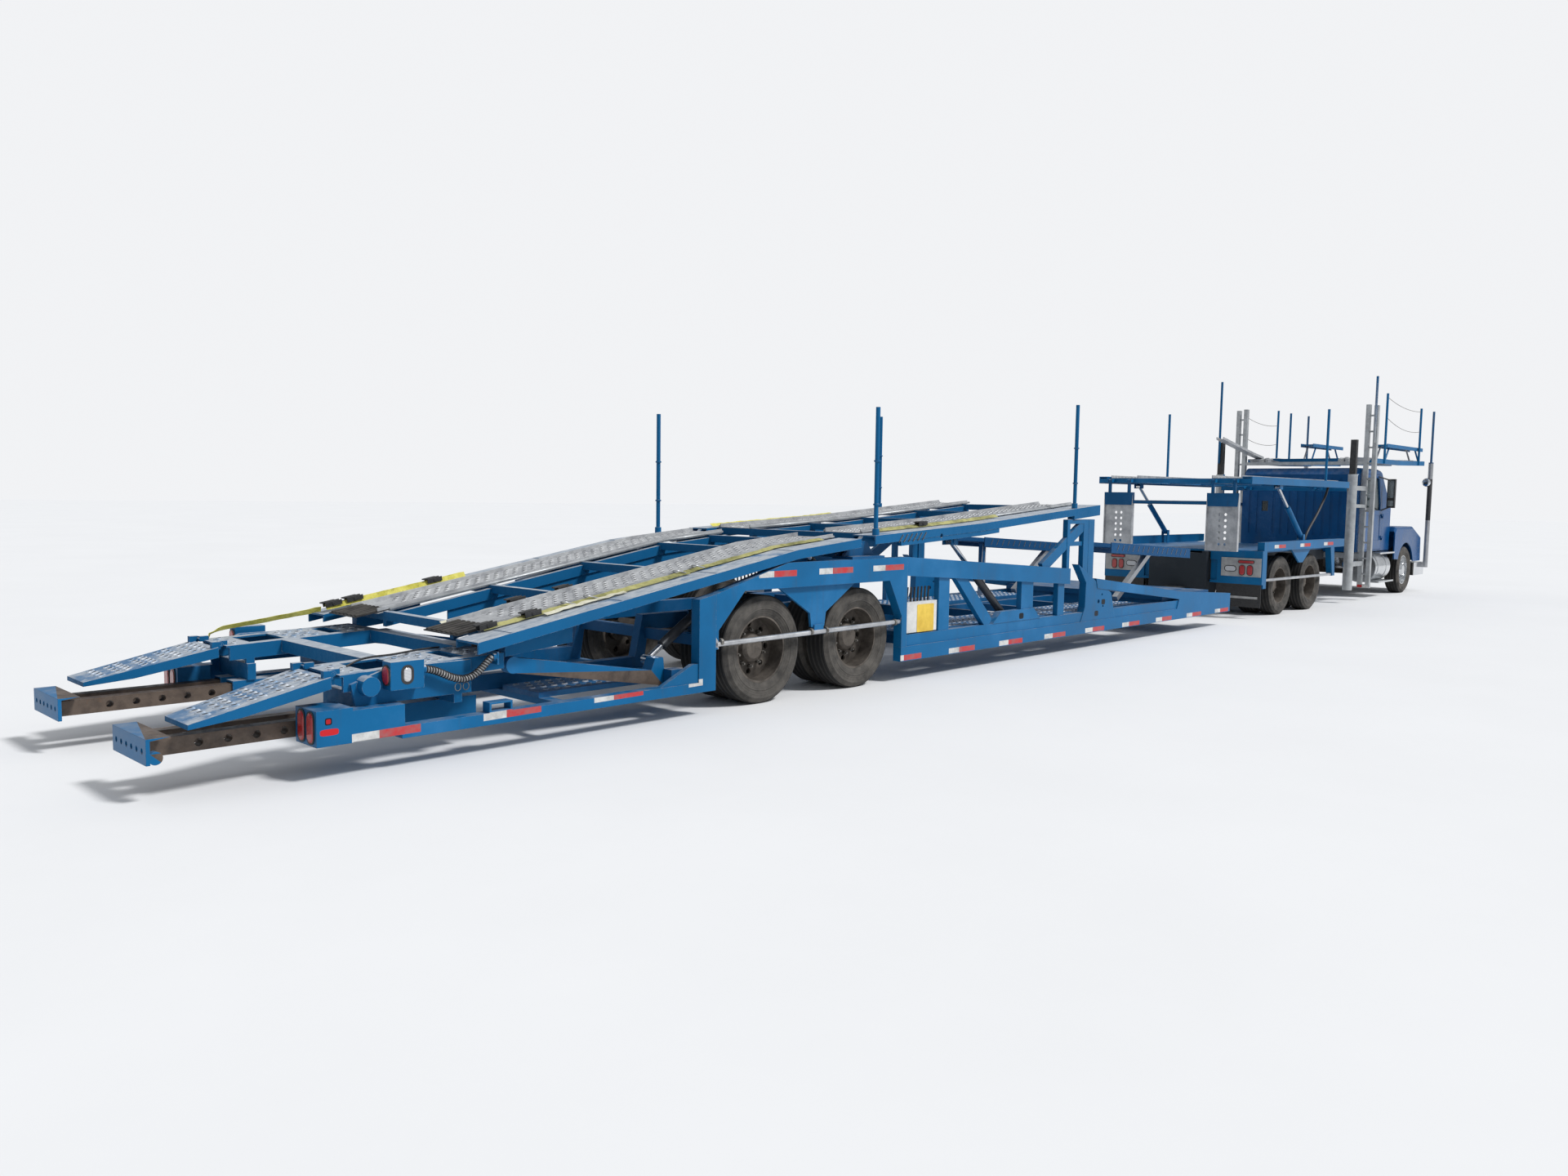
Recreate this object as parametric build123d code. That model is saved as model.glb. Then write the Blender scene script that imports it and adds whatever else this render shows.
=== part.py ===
from build123d import *
import math
import os

# Car transporter: a low-roof tractor with a stinger and a two-level trailer.
# Millimetres, +X forward, +Y left, +Z up, tyres on z = 0, middle of the rig at x = 0.

# Overall sizes
WIDTH = 2590
HALF = WIDTH / 2
SIDE_THICK = 95
SIDE_IN = HALF - SIDE_THICK
REAR_TIP = -12190
FRONT_TIP = 12190
RUN_GAP = 6

# Tyres and wheels
TYRE_R = 464
TYRE_W = 255
RIM_R = 286
DUAL_SPACING = 320
DUAL_OUTER_Y = HALF - 223
STEER_Y = HALF - 265
HUB_R = 118

# Trailer lengths along X
TANDEM_X = -6800
TANDEM_SPACING = 1245
WELL_REAR = -7740
WELL_FRONT = -5570
COLUMN_X = -8150
COLUMN_W = 180
CHORD_FRONT = -2510
TOWER_X = -2145
NOSE_FRONT = 2040
NOSE_PLATE_REAR = 365
PIVOT_X = 1240
DECK_JOINT_X = -6160
SILL_REAR = -10760
TAIL_HINGE_X = -11130
TAIL_FRONT = -9930

# Trailer heights
SILL_BOTTOM = 200
SILL_STEP = 340
SILL_TOP = 450
WELL_BOTTOM = 985
WELL_TOP = 1200
CHORD_DEPTH = 180
CHORD_FRONT_TOP = 980
TOWER_TOP = 1540
NECK_BOTTOM = 462
NECK_THICK = 70
DECK_PIVOT_Z = 1330

# Tractor lengths along X
TRACTOR_REAR = 3190
DRIVE_X = 4900
DRIVE_SPACING = 1320
STEER_X = 10940
MAST_X = 8300
CAB_REAR = 8190
DOOR_REAR = 8440
DOOR_FRONT = 9660
COWL_X = 10180
HOOD_FRONT = 11960
DECK2_REAR = 2790
DECK2_HINGE_X = 7240

# Lift cylinders: barrel pin and rod pin in the XZ plane, and the lane they work in
LIFT_A = ((-8010, 790), (-8520, 460))
LIFT_A_Y = SIDE_IN - 215
LIFT_C = ((-3660, 520), (-4660, 1330))
LIFT_C_Y = SIDE_IN - 70
LIFT_2 = ((5100, 1225), (4020, 2015))
DECK2_OUT = HALF - 55
LIFT_2_Y = DECK2_OUT - 80

# Tractor heights and widths
FRAME_TOP = 1000
FRAME_DEPTH = 270
FRAME_Y = 430
FRAME_THICK = 80
BEAM_TOP = 1165
BEAM_DEPTH = 135
MAST_ROOM = 235
CAB_HALF = HALF - MAST_ROOM
CAB_FLOOR = 960
CAB_ROOF = 2430
CAB_WALL = 45
COWL_Z = 1590
SILL_WINDOW = 1650
DECK2_Z = 2110
RACK_Z = 2560


def block(x0, x1, y0, y1, z0, z1):
    """A box between two corners."""
    size = (x1 - x0, y1 - y0, z1 - z0)
    middle = ((x0 + x1) / 2, (y0 + y1) / 2, (z0 + z1) / 2)
    return Pos(*middle) * Box(*size)


def plate(points, y0, y1):
    """An outline in the XZ plane, thick from y0 to y1."""
    wire = Polyline(*[(x, y0, z) for x, z in points], close=True)
    return extrude(make_face(wire), amount=y1 - y0, dir=(0, 1, 0))


def strut(start, end, depth, y0, y1):
    """A straight bar in the XZ plane, as deep as given, between two points on its middle line."""
    length = math.dist(start, end)
    nx = -(end[1] - start[1]) / length * depth / 2
    nz = (end[0] - start[0]) / length * depth / 2
    corners = [(start[0] + nx, start[1] + nz), (end[0] + nx, end[1] + nz),
               (end[0] - nx, end[1] - nz), (start[0] - nx, start[1] - nz)]
    return plate(corners, y0, y1)


def rod(start, end, radius):
    """A round bar from one point to another."""
    a = Vector(*start)
    b = Vector(*end)
    return extrude(Plane(origin=a, z_dir=b - a) * Circle(radius), amount=(b - a).length)


def other_side(shape):
    """The same piece on the other side of the rig."""
    return mirror(shape, about=Plane.XZ)


def join(*shapes):
    """One solid made of several that meet."""
    whole = shapes[0]
    for shape in shapes[1:]:
        whole = whole + shape
    return whole


def lerp(a, b, t):
    """The value a share t of the way from a to b."""
    return a + (b - a) * t


def keep(node, *shapes):
    """Write one node, with each of its solids apart."""
    solids = [solid for shape in shapes for solid in shape.solids()]
    export_step(Compound(children=solids), "parts/" + node + ".step")


os.makedirs("parts", exist_ok=True)

# Wheels: a tyre on its rim, as a revolved section about Y. Twins share one hub.


def tyre(x, y, z=TYRE_R):
    """A tyre with rounded shoulders and an open bead, 0.3 mm off its rim."""
    half = TYRE_W / 2
    bead = RIM_R + 0.3
    section = Polyline((bead, -half + 28), (bead + 60, -half), (TYRE_R - 48, -half),
                       (TYRE_R, -half + 32), (TYRE_R, half - 32), (TYRE_R - 48, half),
                       (bead + 60, half), (bead, half - 28), close=True)
    ring = revolve(Plane.XY * make_face(section), axis=Axis.Y)
    return Pos(x, y, z) * ring


def rim(x, y, side, dish, z=TYRE_R):
    """A rim with its disc set in from the outer face by dish, hand holes and a hub."""
    half = TYRE_W / 2 - 30
    wall = 16
    disc = half - dish
    section = Polyline((0, disc - 22), (RIM_R - wall, disc - 22), (RIM_R - wall, -half),
                       (RIM_R, -half), (RIM_R, half), (RIM_R - wall, half),
                       (RIM_R - wall, disc), (HUB_R + 20, disc), (HUB_R, disc + 46),
                       (HUB_R - 30, disc + 70), (0, disc + 70), close=True)
    body = revolve(Plane.XY * make_face(section), axis=Axis.Y)
    hand_holes = 8
    for i in range(hand_holes):
        turn = Rot(0, 360 * i / hand_holes, 0)
        hole = turn * Pos(205, disc - 11, 0) * Rot(90, 0, 0) * Cylinder(26, 60)
        body = body - hole
    if side < 0:
        body = mirror(body, about=Plane.XZ)
    return Pos(x, y, z) * body


def twin(node, x, side):
    """Two tyres and two rims on one hub, the outer disc set deep and the inner one shallow."""
    outer = side * DUAL_OUTER_Y
    inner = side * (DUAL_OUTER_Y - DUAL_SPACING)
    hub = rod((x, inner, TYRE_R), (x, side * (DUAL_OUTER_Y - 60), TYRE_R), HUB_R - 10)
    wheel = join(rim(x, outer, side, 150), rim(x, inner, side, 20), hub)
    keep(node, tyre(x, outer), tyre(x, inner), wheel)


def single(node, x, side):
    """A steered wheel, its disc near the outer face."""
    keep(node, tyre(x, side * STEER_Y), rim(x, side * STEER_Y, side, 60))


SIDES = (("left", 1), ("right", -1))
TRAILER_AXLES = (("rear", TANDEM_X - TANDEM_SPACING / 2), ("front", TANDEM_X + TANDEM_SPACING / 2))
DRIVE_AXLES = (("rear", DRIVE_X - DRIVE_SPACING / 2), ("front", DRIVE_X + DRIVE_SPACING / 2))
for side_name, side in SIDES:
    for row, axle_x in TRAILER_AXLES:
        twin("trailer_wheel_" + row + "_" + side_name, axle_x, side)
    for row, axle_x in DRIVE_AXLES:
        twin("drive_wheel_" + row + "_" + side_name, axle_x, side)
    single("front_wheel_" + side_name, STEER_X, side)

# Trailer axles: beam, spring hangers and the trailing arms that carry them.
AXLE_R = 66
SEAT_GAP = 0.3
OVER_AXLE = 620
AXLE_HALF = DUAL_OUTER_Y - DUAL_SPACING - SEAT_GAP
BEAM_Y = 440
BEAM_W = 90
axles = []
for row, axle_x in TRAILER_AXLES:
    beam = rod((axle_x, -AXLE_HALF, TYRE_R), (axle_x, AXLE_HALF, TYRE_R), AXLE_R)
    for sign in (1, -1):
        y0 = sign * BEAM_Y - BEAM_W / 2
        arm = plate([(axle_x - 300, 600), (axle_x - 290, OVER_AXLE - SEAT_GAP),
                     (axle_x - 230, OVER_AXLE - SEAT_GAP), (axle_x + 120, TYRE_R + 90),
                     (axle_x + 120, TYRE_R - 30), (axle_x - 80, TYRE_R - 90)], y0, y0 + BEAM_W)
        beam = join(beam, arm)
    axles.append(beam)
keep("trailer_axles", *axles)

# Trailer sills: rail with a stepped plate, carried forward into the nose truss.


def chord_top(x):
    """Top of the side chord, which falls from the wheel well to the tower."""
    return lerp(WELL_TOP, CHORD_FRONT_TOP, (x - WELL_FRONT) / (CHORD_FRONT - WELL_FRONT))


NOSE_CHORD_REAR = (-1900, 840)
NOSE_CHORD_FRONT = (NOSE_PLATE_REAR + 115, 560)
NOSE_TIP_TOP = 462
NOSE_CHORD_DEPTH = 120
STEP_IN = 14


def sill(side):
    """One sill with the nose truss and its end plate as one welded piece."""
    inner = SIDE_IN
    rail = block(WELL_FRONT - 80, NOSE_PLATE_REAR, inner, HALF, SILL_BOTTOM, SILL_STEP)
    upper = block(WELL_FRONT, NOSE_PLATE_REAR, inner, HALF - STEP_IN, SILL_STEP, SILL_TOP)
    knee = plate([(TOWER_X - 175, 1020), (TOWER_X + 15, 800), (TOWER_X + 5, 510),
                  (TOWER_X - 95, 320), (TOWER_X + 755, 310), (TOWER_X + 635, 650),
                  (TOWER_X + 225, 820)], inner, HALF - STEP_IN / 2)
    chord = plate([NOSE_CHORD_REAR, NOSE_CHORD_FRONT,
                   (NOSE_CHORD_FRONT[0] - 60, NOSE_CHORD_FRONT[1] - NOSE_CHORD_DEPTH + 20),
                   (NOSE_CHORD_REAR[0] + 40, NOSE_CHORD_REAR[1] - NOSE_CHORD_DEPTH)],
                  inner, HALF)
    end = plate([(NOSE_PLATE_REAR - 115, SILL_BOTTOM), (NOSE_PLATE_REAR, SILL_TOP),
                 NOSE_CHORD_FRONT, (NOSE_FRONT, NOSE_TIP_TOP), (NOSE_FRONT, SILL_BOTTOM)],
                inner, HALF)
    whole = join(rail, upper, knee, chord, end)
    for hx, hz, hr in ((330, 560, 26), (410, 640, 14), (440, 500, 14)):
        hole = Pos(TOWER_X + hx, inner + SIDE_THICK / 2, hz) * Rot(90, 0, 0) * Cylinder(hr, 200)
        whole = whole - hole
    return whole if side > 0 else other_side(whole)


# Upper side chords, from the wheel well to the tower.
chord = plate([(WELL_FRONT, WELL_TOP), (CHORD_FRONT, CHORD_FRONT_TOP),
               (CHORD_FRONT, CHORD_FRONT_TOP - CHORD_DEPTH),
               (WELL_FRONT, WELL_TOP - CHORD_DEPTH)], SIDE_IN, HALF)

# Posts and braces between the sill and the chord. Columns: rear x, width.
POSTS = ((-5030, 180), (-3510, 240), (-2740, 140))
POST_IN = SIDE_IN + 12
POST_OUT = HALF - 22
BRACE_TOP_X = -4640
BRACE_BOTTOM_X = -4080
GUSSET_X = -3600
GUSSET_HALF = 470
GUSSET_TOP = 570
braces = []
for post_x, post_w in POSTS:
    low = GUSSET_TOP if abs(post_x + post_w / 2 - GUSSET_X) < GUSSET_HALF else SILL_TOP
    top0 = chord_top(post_x) - CHORD_DEPTH
    top1 = chord_top(post_x + post_w) - CHORD_DEPTH
    braces.append(plate([(post_x, low), (post_x + post_w, low), (post_x + post_w, top1),
                         (post_x, top0)], POST_IN, POST_OUT))
brace_w = 210
braces.append(plate([(BRACE_TOP_X - brace_w / 2, chord_top(BRACE_TOP_X - brace_w / 2) - CHORD_DEPTH),
                     (BRACE_TOP_X + brace_w / 2, chord_top(BRACE_TOP_X + brace_w / 2) - CHORD_DEPTH),
                     (BRACE_BOTTOM_X, SILL_TOP + 60), (BRACE_BOTTOM_X - 30, SILL_TOP),
                     (BRACE_BOTTOM_X - 140, SILL_TOP)], POST_IN, POST_OUT))
braces.append(plate([(GUSSET_X - GUSSET_HALF, SILL_TOP), (GUSSET_X - GUSSET_HALF + 150, GUSSET_TOP),
                     (GUSSET_X + GUSSET_HALF - 140, GUSSET_TOP), (GUSSET_X + GUSSET_HALF, SILL_TOP)],
                    POST_IN, HALF - 8))
left_sill = join(sill(1), *braces)
keep("trailer_sills", left_sill, other_side(left_sill))

# Front towers: two columns with rungs, a brace down to the chord and the deck's guide channel.
TOWER_COLS = ((TOWER_X - 425, 80), (TOWER_X - 55, 110))
RUNG_Z = 1260
guide = block(TOWER_X + 60, TOWER_X + 190, SIDE_IN, HALF - 20, 830, TOWER_TOP)
tower = guide
front_col = block(TOWER_COLS[1][0], TOWER_COLS[1][0] + TOWER_COLS[1][1] + 15, POST_IN, POST_OUT,
                  890, TOWER_TOP)
tower = join(tower, front_col)
rear_col = block(TOWER_COLS[0][0], CHORD_FRONT, POST_IN, POST_OUT, CHORD_FRONT_TOP - 60, TOWER_TOP)
tower = join(tower, block(TOWER_COLS[0][0] + 20, TOWER_COLS[1][0] + 20, POST_IN + 15, POST_OUT - 15,
                          RUNG_Z - 25, RUNG_Z + 25))
tower = join(tower, rear_col)
tower = join(tower, strut((CHORD_FRONT - 560, chord_top(CHORD_FRONT - 560) - 20),
                          (TOWER_COLS[1][0] + 20, TOWER_TOP - 60), 120, POST_IN + 4, POST_OUT - 4))
tower = join(tower, block(TOWER_COLS[0][0], TOWER_X + 190, POST_IN, POST_OUT,
                          TOWER_TOP - 50, TOWER_TOP))
tower = join(chord, tower) - left_sill
keep("trailer_towers", tower, other_side(tower))

# Wheel wells: the box beam over the tyres, the slanted arch ends and the plate between the wheels.
ARCH_FOOT_REAR = COLUMN_X + COLUMN_W / 2
V_HALF_TOP = 500
V_HALF_LOW = 105
V_LOW = 745
V_FOOT = 620
GUARD_Y = HALF - 33
GUARD_R = 22
GUARD_Z = 585
well = plate([(WELL_REAR + 520, WELL_TOP), (WELL_FRONT, WELL_TOP), (WELL_FRONT, SILL_STEP),
              (WELL_FRONT - 80, SILL_STEP), (WELL_FRONT - 80, 640), (WELL_FRONT - 270, WELL_BOTTOM),
              (WELL_REAR, WELL_BOTTOM), (ARCH_FOOT_REAR, 650), (ARCH_FOOT_REAR, 975)],
             SIDE_IN, HALF)
v_plate = plate([(TANDEM_X - V_HALF_TOP, WELL_BOTTOM), (TANDEM_X + V_HALF_TOP, WELL_BOTTOM),
                 (TANDEM_X + V_HALF_LOW, V_LOW), (TANDEM_X + V_HALF_LOW - 20, V_FOOT),
                 (TANDEM_X - V_HALF_LOW + 20, V_FOOT), (TANDEM_X - V_HALF_LOW, V_LOW)],
                HALF - 66, HALF - 40)
guard = rod((ARCH_FOOT_REAR + 30, GUARD_Y, GUARD_Z - 20), (WELL_FRONT - 20, GUARD_Y, GUARD_Z), GUARD_R)
lug = block(TANDEM_X - 60, TANDEM_X + 60, HALF - 66, GUARD_Y + 8, GUARD_Z - 30, V_FOOT + 20)
rear_lug = block(ARCH_FOOT_REAR, ARCH_FOOT_REAR + 50, SIDE_IN, GUARD_Y + 10, GUARD_Z - 60, 700)
well = join(well, v_plate, lug, guard, rear_lug)
keep("trailer_wheel_wells", well, other_side(well))

# Rear frame: low rail, column, gusset and the lamp box at its end.
REAR_RAIL_TOP = 280
LAMP_REAR = -11310
column = plate([(COLUMN_X - COLUMN_W / 2, SILL_BOTTOM), (COLUMN_X + COLUMN_W / 2, SILL_BOTTOM),
                (COLUMN_X + COLUMN_W / 2, 975), (COLUMN_X - COLUMN_W / 2, 940)], SIDE_IN, HALF)
rail = block(SILL_REAR, COLUMN_X, SIDE_IN, HALF, SILL_BOTTOM, REAR_RAIL_TOP)
foot = plate([(COLUMN_X - 480, REAR_RAIL_TOP), (COLUMN_X, REAR_RAIL_TOP), (COLUMN_X, 430),
              (COLUMN_X - COLUMN_W / 2 - 60, 430)], SIDE_IN + 40, HALF - 10)
lamp_box = block(LAMP_REAR, LAMP_REAR + 230, SIDE_IN - 190, HALF, 220, 440)
lamp_arm = block(LAMP_REAR + 230, SILL_REAR + 20, SIDE_IN - 20, HALF, 225, 420)
receiver = block(-10130, -9950, SIDE_IN + 10, HALF, REAR_RAIL_TOP, REAR_RAIL_TOP + 70) - block(
    -10115, -9965, SIDE_IN - 10, HALF + 10, REAR_RAIL_TOP + 12, REAR_RAIL_TOP + 58)
rear_side = join(column, rail, foot, lamp_box, lamp_arm, receiver)
cross_ties = []
TIE_REAR = -9560
for tie_x in (TIE_REAR, COLUMN_X - 40):
    cross_ties.append(block(tie_x, tie_x + 90, -SIDE_IN, SIDE_IN, SILL_BOTTOM + 35, REAR_RAIL_TOP))
rear_frame = join(rear_side, other_side(rear_side), *cross_ties)
keep("trailer_rear_frame", rear_frame)

# Centre beams: a pair of drop-frame members with cross members out to the sills.
FLOOR_TOP = 420
FLOOR_DEPTH = 120
HUMP_REAR = COLUMN_X + 60
HUMP_FRONT = WELL_FRONT + 60
NECK_REAR = 60
spines = []
spine_line = [(-9800, REAR_RAIL_TOP), (HUMP_REAR - 60, REAR_RAIL_TOP), (HUMP_REAR, OVER_AXLE),
              (HUMP_FRONT, OVER_AXLE), (HUMP_FRONT + 60, FLOOR_TOP - FLOOR_DEPTH),
              (NECK_REAR + 40, FLOOR_TOP - FLOOR_DEPTH), (NECK_REAR + 40, FLOOR_TOP),
              (HUMP_FRONT + 140, FLOOR_TOP), (HUMP_FRONT + 60, OVER_AXLE + 130),
              (HUMP_REAR - 60, OVER_AXLE + 130), (HUMP_REAR - 140, REAR_RAIL_TOP + FLOOR_DEPTH),
              (-9800, REAR_RAIL_TOP + FLOOR_DEPTH)]
for sign in (1, -1):
    y0 = sign * BEAM_Y - BEAM_W / 2
    spines.append(plate(spine_line, y0, y0 + BEAM_W))
cross = []
CROSS_X = (-5350, -4500, -3600, -2700, -1800, -900)
for cross_x in CROSS_X:
    cross.append(block(cross_x, cross_x + 80, -SIDE_IN, SIDE_IN, FLOOR_TOP - 100, FLOOR_TOP - 10))
for tie_x, tie_z in ((COLUMN_X + 20, OVER_AXLE - 70), (WELL_FRONT - 75, OVER_AXLE + 20)):
    cross.append(block(tie_x, tie_x + 70, -SIDE_IN, SIDE_IN, tie_z, tie_z + 90))
keep("trailer_spine", join(*spines, *cross))

# Wheel tracks of the lower floor, laid on the cross members.
TRACK_IN = 560
TRACK_OUT = SIDE_IN - 50
TRACK_T = 40
floor_track = block(-5400, -400, TRACK_IN, TRACK_OUT, FLOOR_TOP - 10, FLOOR_TOP - 10 + TRACK_T)
rear_track = block(-9560, COLUMN_X - 60, TRACK_IN, TRACK_OUT - 120, REAR_RAIL_TOP,
                   REAR_RAIL_TOP + TRACK_T)
keep("trailer_floor_tracks", floor_track, other_side(floor_track), rear_track,
     other_side(rear_track))

# Neck: the plate over the stinger between the nose sides, with the kingpin under it.
NECK_FRONT = PIVOT_X + 260
KINGPIN_R = 25.4
neck = block(NECK_REAR, NECK_FRONT, -SIDE_IN, SIDE_IN, NECK_BOTTOM, NECK_BOTTOM + NECK_THICK)
neck_drop = block(NECK_REAR + 40, NECK_REAR + 130, -SIDE_IN, SIDE_IN, FLOOR_TOP - FLOOR_DEPTH,
                  NECK_BOTTOM)
neck_wing = plate([(NECK_REAR, NECK_BOTTOM), (NECK_FRONT, NECK_BOTTOM), (NECK_FRONT, SILL_TOP - 60),
                   (NECK_REAR, SILL_TOP - 60)], SIDE_IN - 12, SIDE_IN)
kingpin = rod((PIVOT_X, 0, NECK_BOTTOM), (PIVOT_X, 0, NECK_BOTTOM - 120), KINGPIN_R)
keep("trailer_neck", join(neck, neck_drop, neck_wing, other_side(neck_wing), kingpin))

# Tail frame: two arms in line with the ramps, cross members, pin bosses and the skid sleeves.
TAIL_IN = 640
TAIL_SETBACK = 135
TAIL_OUT = HALF - TAIL_SETBACK
TAIL_Z = 620
TAIL_FRONT_Z = 660
ARM_DEPTH = 110
BOSS_R = 62
SKID_TOP = 340
SKID_H = 100
SKID_W = 90
SLEEVE_WALL = 14
SKID_GAP = 6
SKID_Y = (700, 930)
SKID_PLATE_Y = (TAIL_IN - 80, TAIL_OUT - 30)


def tail_top(x):
    """Top of the tail frame, which rises from the ramp hinge to the deck."""
    return lerp(TAIL_Z, TAIL_FRONT_Z, (x - TAIL_HINGE_X) / (TAIL_FRONT - TAIL_HINGE_X))


def tail_plate(x0, x1, depth, y0, y1):
    """A flat member that follows the top of the tail frame."""
    return plate([(x0, tail_top(x0)), (x1, tail_top(x1)), (x1, tail_top(x1) - depth),
                  (x0, tail_top(x0) - depth)], y0, y1)


TAIL_START = TAIL_HINGE_X + 34
web_w = 22
tail_side = join(tail_plate(TAIL_START + 20, TAIL_FRONT, ARM_DEPTH, TAIL_IN, TAIL_IN + web_w),
                 tail_plate(TAIL_START + 20, TAIL_FRONT, ARM_DEPTH, TAIL_OUT - web_w, TAIL_OUT),
                 tail_plate(TAIL_START, TAIL_FRONT, 14, TAIL_IN, TAIL_OUT))
for open_x0, open_x1 in ((-10900, -10640), (-10290, -10180)):
    tail_side = tail_side - block(open_x0, open_x1, TAIL_IN + 90, TAIL_OUT - 90, 500, 800)
tail_side = join(tail_side, rod((TAIL_HINGE_X + 190, TAIL_OUT - 30, 545),
                                (TAIL_HINGE_X + 190, HALF - 40, 545), BOSS_R))
cheek = plate([(TAIL_HINGE_X + 90, 560), (TAIL_HINGE_X + 330, 640), (-10200, 640), (-10200, 420),
               (LAMP_REAR + 300, 420)], TAIL_OUT, TAIL_OUT + 24)
tail_side = join(tail_side, cheek)
KNUCKLE_R = 20
KNUCKLE_W = 38
HINGE_PIN_R = 9
HINGE_Z = TAIL_Z + 14
KNUCKLE_Y = (TAIL_IN + 20, TAIL_OUT - 58)
for lug_y in KNUCKLE_Y:
    y0 = lug_y + KNUCKLE_W + RUN_GAP
    tail_side = join(tail_side, block(TAIL_HINGE_X, TAIL_START + 30, y0 - 80 if lug_y > 900 else y0,
                                      y0 - 50 if lug_y > 900 else y0 + 30, TAIL_Z - 6,
                                      HINGE_Z + KNUCKLE_R))
    pin_y0 = lug_y - 36 if lug_y > 900 else lug_y
    pin_y1 = lug_y + KNUCKLE_W if lug_y > 900 else lug_y + KNUCKLE_W + 36
    tail_side = join(tail_side, rod((TAIL_HINGE_X, pin_y0, HINGE_Z), (TAIL_HINGE_X, pin_y1, HINGE_Z),
                                    HINGE_PIN_R))
sleeves = []
for skid_y in SKID_Y:
    y0 = skid_y - SKID_W / 2 - SKID_GAP - SLEEVE_WALL
    y1 = skid_y + SKID_W / 2 + SKID_GAP + SLEEVE_WALL
    z0 = SKID_TOP - SKID_H - SEAT_GAP - SLEEVE_WALL
    z1 = SKID_TOP + SKID_GAP + SLEEVE_WALL
    outer_box = block(LAMP_REAR + 250, -10050, y0, y1, z0, z1)
    inner_box = block(LAMP_REAR + 200, -10000, y0 + SLEEVE_WALL, y1 - SLEEVE_WALL,
                      z0 + SLEEVE_WALL, z1 - SLEEVE_WALL)
    sleeves.append(outer_box - inner_box)
hanger = block(-10960, -10900, TAIL_IN - 20, TAIL_OUT + 24, SKID_TOP + SKID_GAP + SLEEVE_WALL, 480)
hanger = join(hanger, block(-10330, -10270, TAIL_IN - 20, TAIL_OUT + 24,
                            SKID_TOP + SKID_GAP + SLEEVE_WALL, 480))
hanger_post = join(block(-10960, -10900, TAIL_IN, TAIL_IN + web_w, 470, 560),
                   block(-10330, -10270, TAIL_IN, TAIL_IN + web_w, 470, 600),
                   block(-10960, -10900, TAIL_OUT - web_w, TAIL_OUT, 470, 560),
                   block(-10330, -10270, TAIL_OUT - web_w, TAIL_OUT, 470, 600))
tail_side = join(tail_side, hanger, hanger_post, *sleeves)
lamp_link = block(LAMP_REAR + 260, SILL_REAR - 40, TAIL_OUT, SIDE_IN - 18, 300, 420)
tail_side = join(tail_side, lamp_link)
tail = join(tail_side, other_side(tail_side))
for member_x in (-10700, -10000):
    tail = join(tail, tail_plate(member_x, member_x + 130, 90, -TAIL_IN, TAIL_IN))
tail = tail - rear_frame
upper_lamp = block(-10830, -10600, TAIL_OUT + 24, HALF - 8, 510, 690)
tail = join(tail, upper_lamp, other_side(upper_lamp))
HOSE_R = 20
HOSE_ROUTE = ((-10570, -1240, 620), (-10500, -1240, 604), (-10430, -1241, 568), (-10360, -1242, 536),
              (-10290, -1242, 522), (-10220, -1241, 536), (-10160, -1240, 575), (-10112, -1240, 622),
              (-10075, -1240, 652))
GLAND_R = 28
gland_rear = rod((-10605, -1240, 620), HOSE_ROUTE[0], GLAND_R)
gland_front = join(rod(HOSE_ROUTE[-1], (-10040, -1240, 652), GLAND_R),
                   block(-10052, -10040, min(HOSE_ROUTE[-1][1] - 30, -TAIL_OUT - web_w),
                         -TAIL_OUT + web_w, 600, 684))
tail = join(tail, gland_rear, gland_front)
keep("trailer_tail_frame", tail)
radii = []
for before, here, after in zip(HOSE_ROUTE, HOSE_ROUTE[1:], HOSE_ROUTE[2:]):
    a = Vector(*here) - Vector(*before)
    b = Vector(*after) - Vector(*here)
    shorter = min(a.length, b.length)
    radii.append(0.45 * shorter / math.tan(math.radians(a.get_angle(b) / 2)))
print("hose radii", [round(r) for r in radii])
hose_path = FilletPolyline(*HOSE_ROUTE, radius=radii)
hose_plane = Plane(origin=HOSE_ROUTE[0], z_dir=Vector(*HOSE_ROUTE[1]) - Vector(*HOSE_ROUTE[0]))
hose = sweep(hose_plane * Circle(HOSE_R), path=hose_path)
hose = hose - tail
print("hose length", round(hose_path.length), "volume share",
      round(hose.volume / (math.pi * HOSE_R ** 2 * hose_path.length), 4))
keep("tail_hose", hose)

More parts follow.
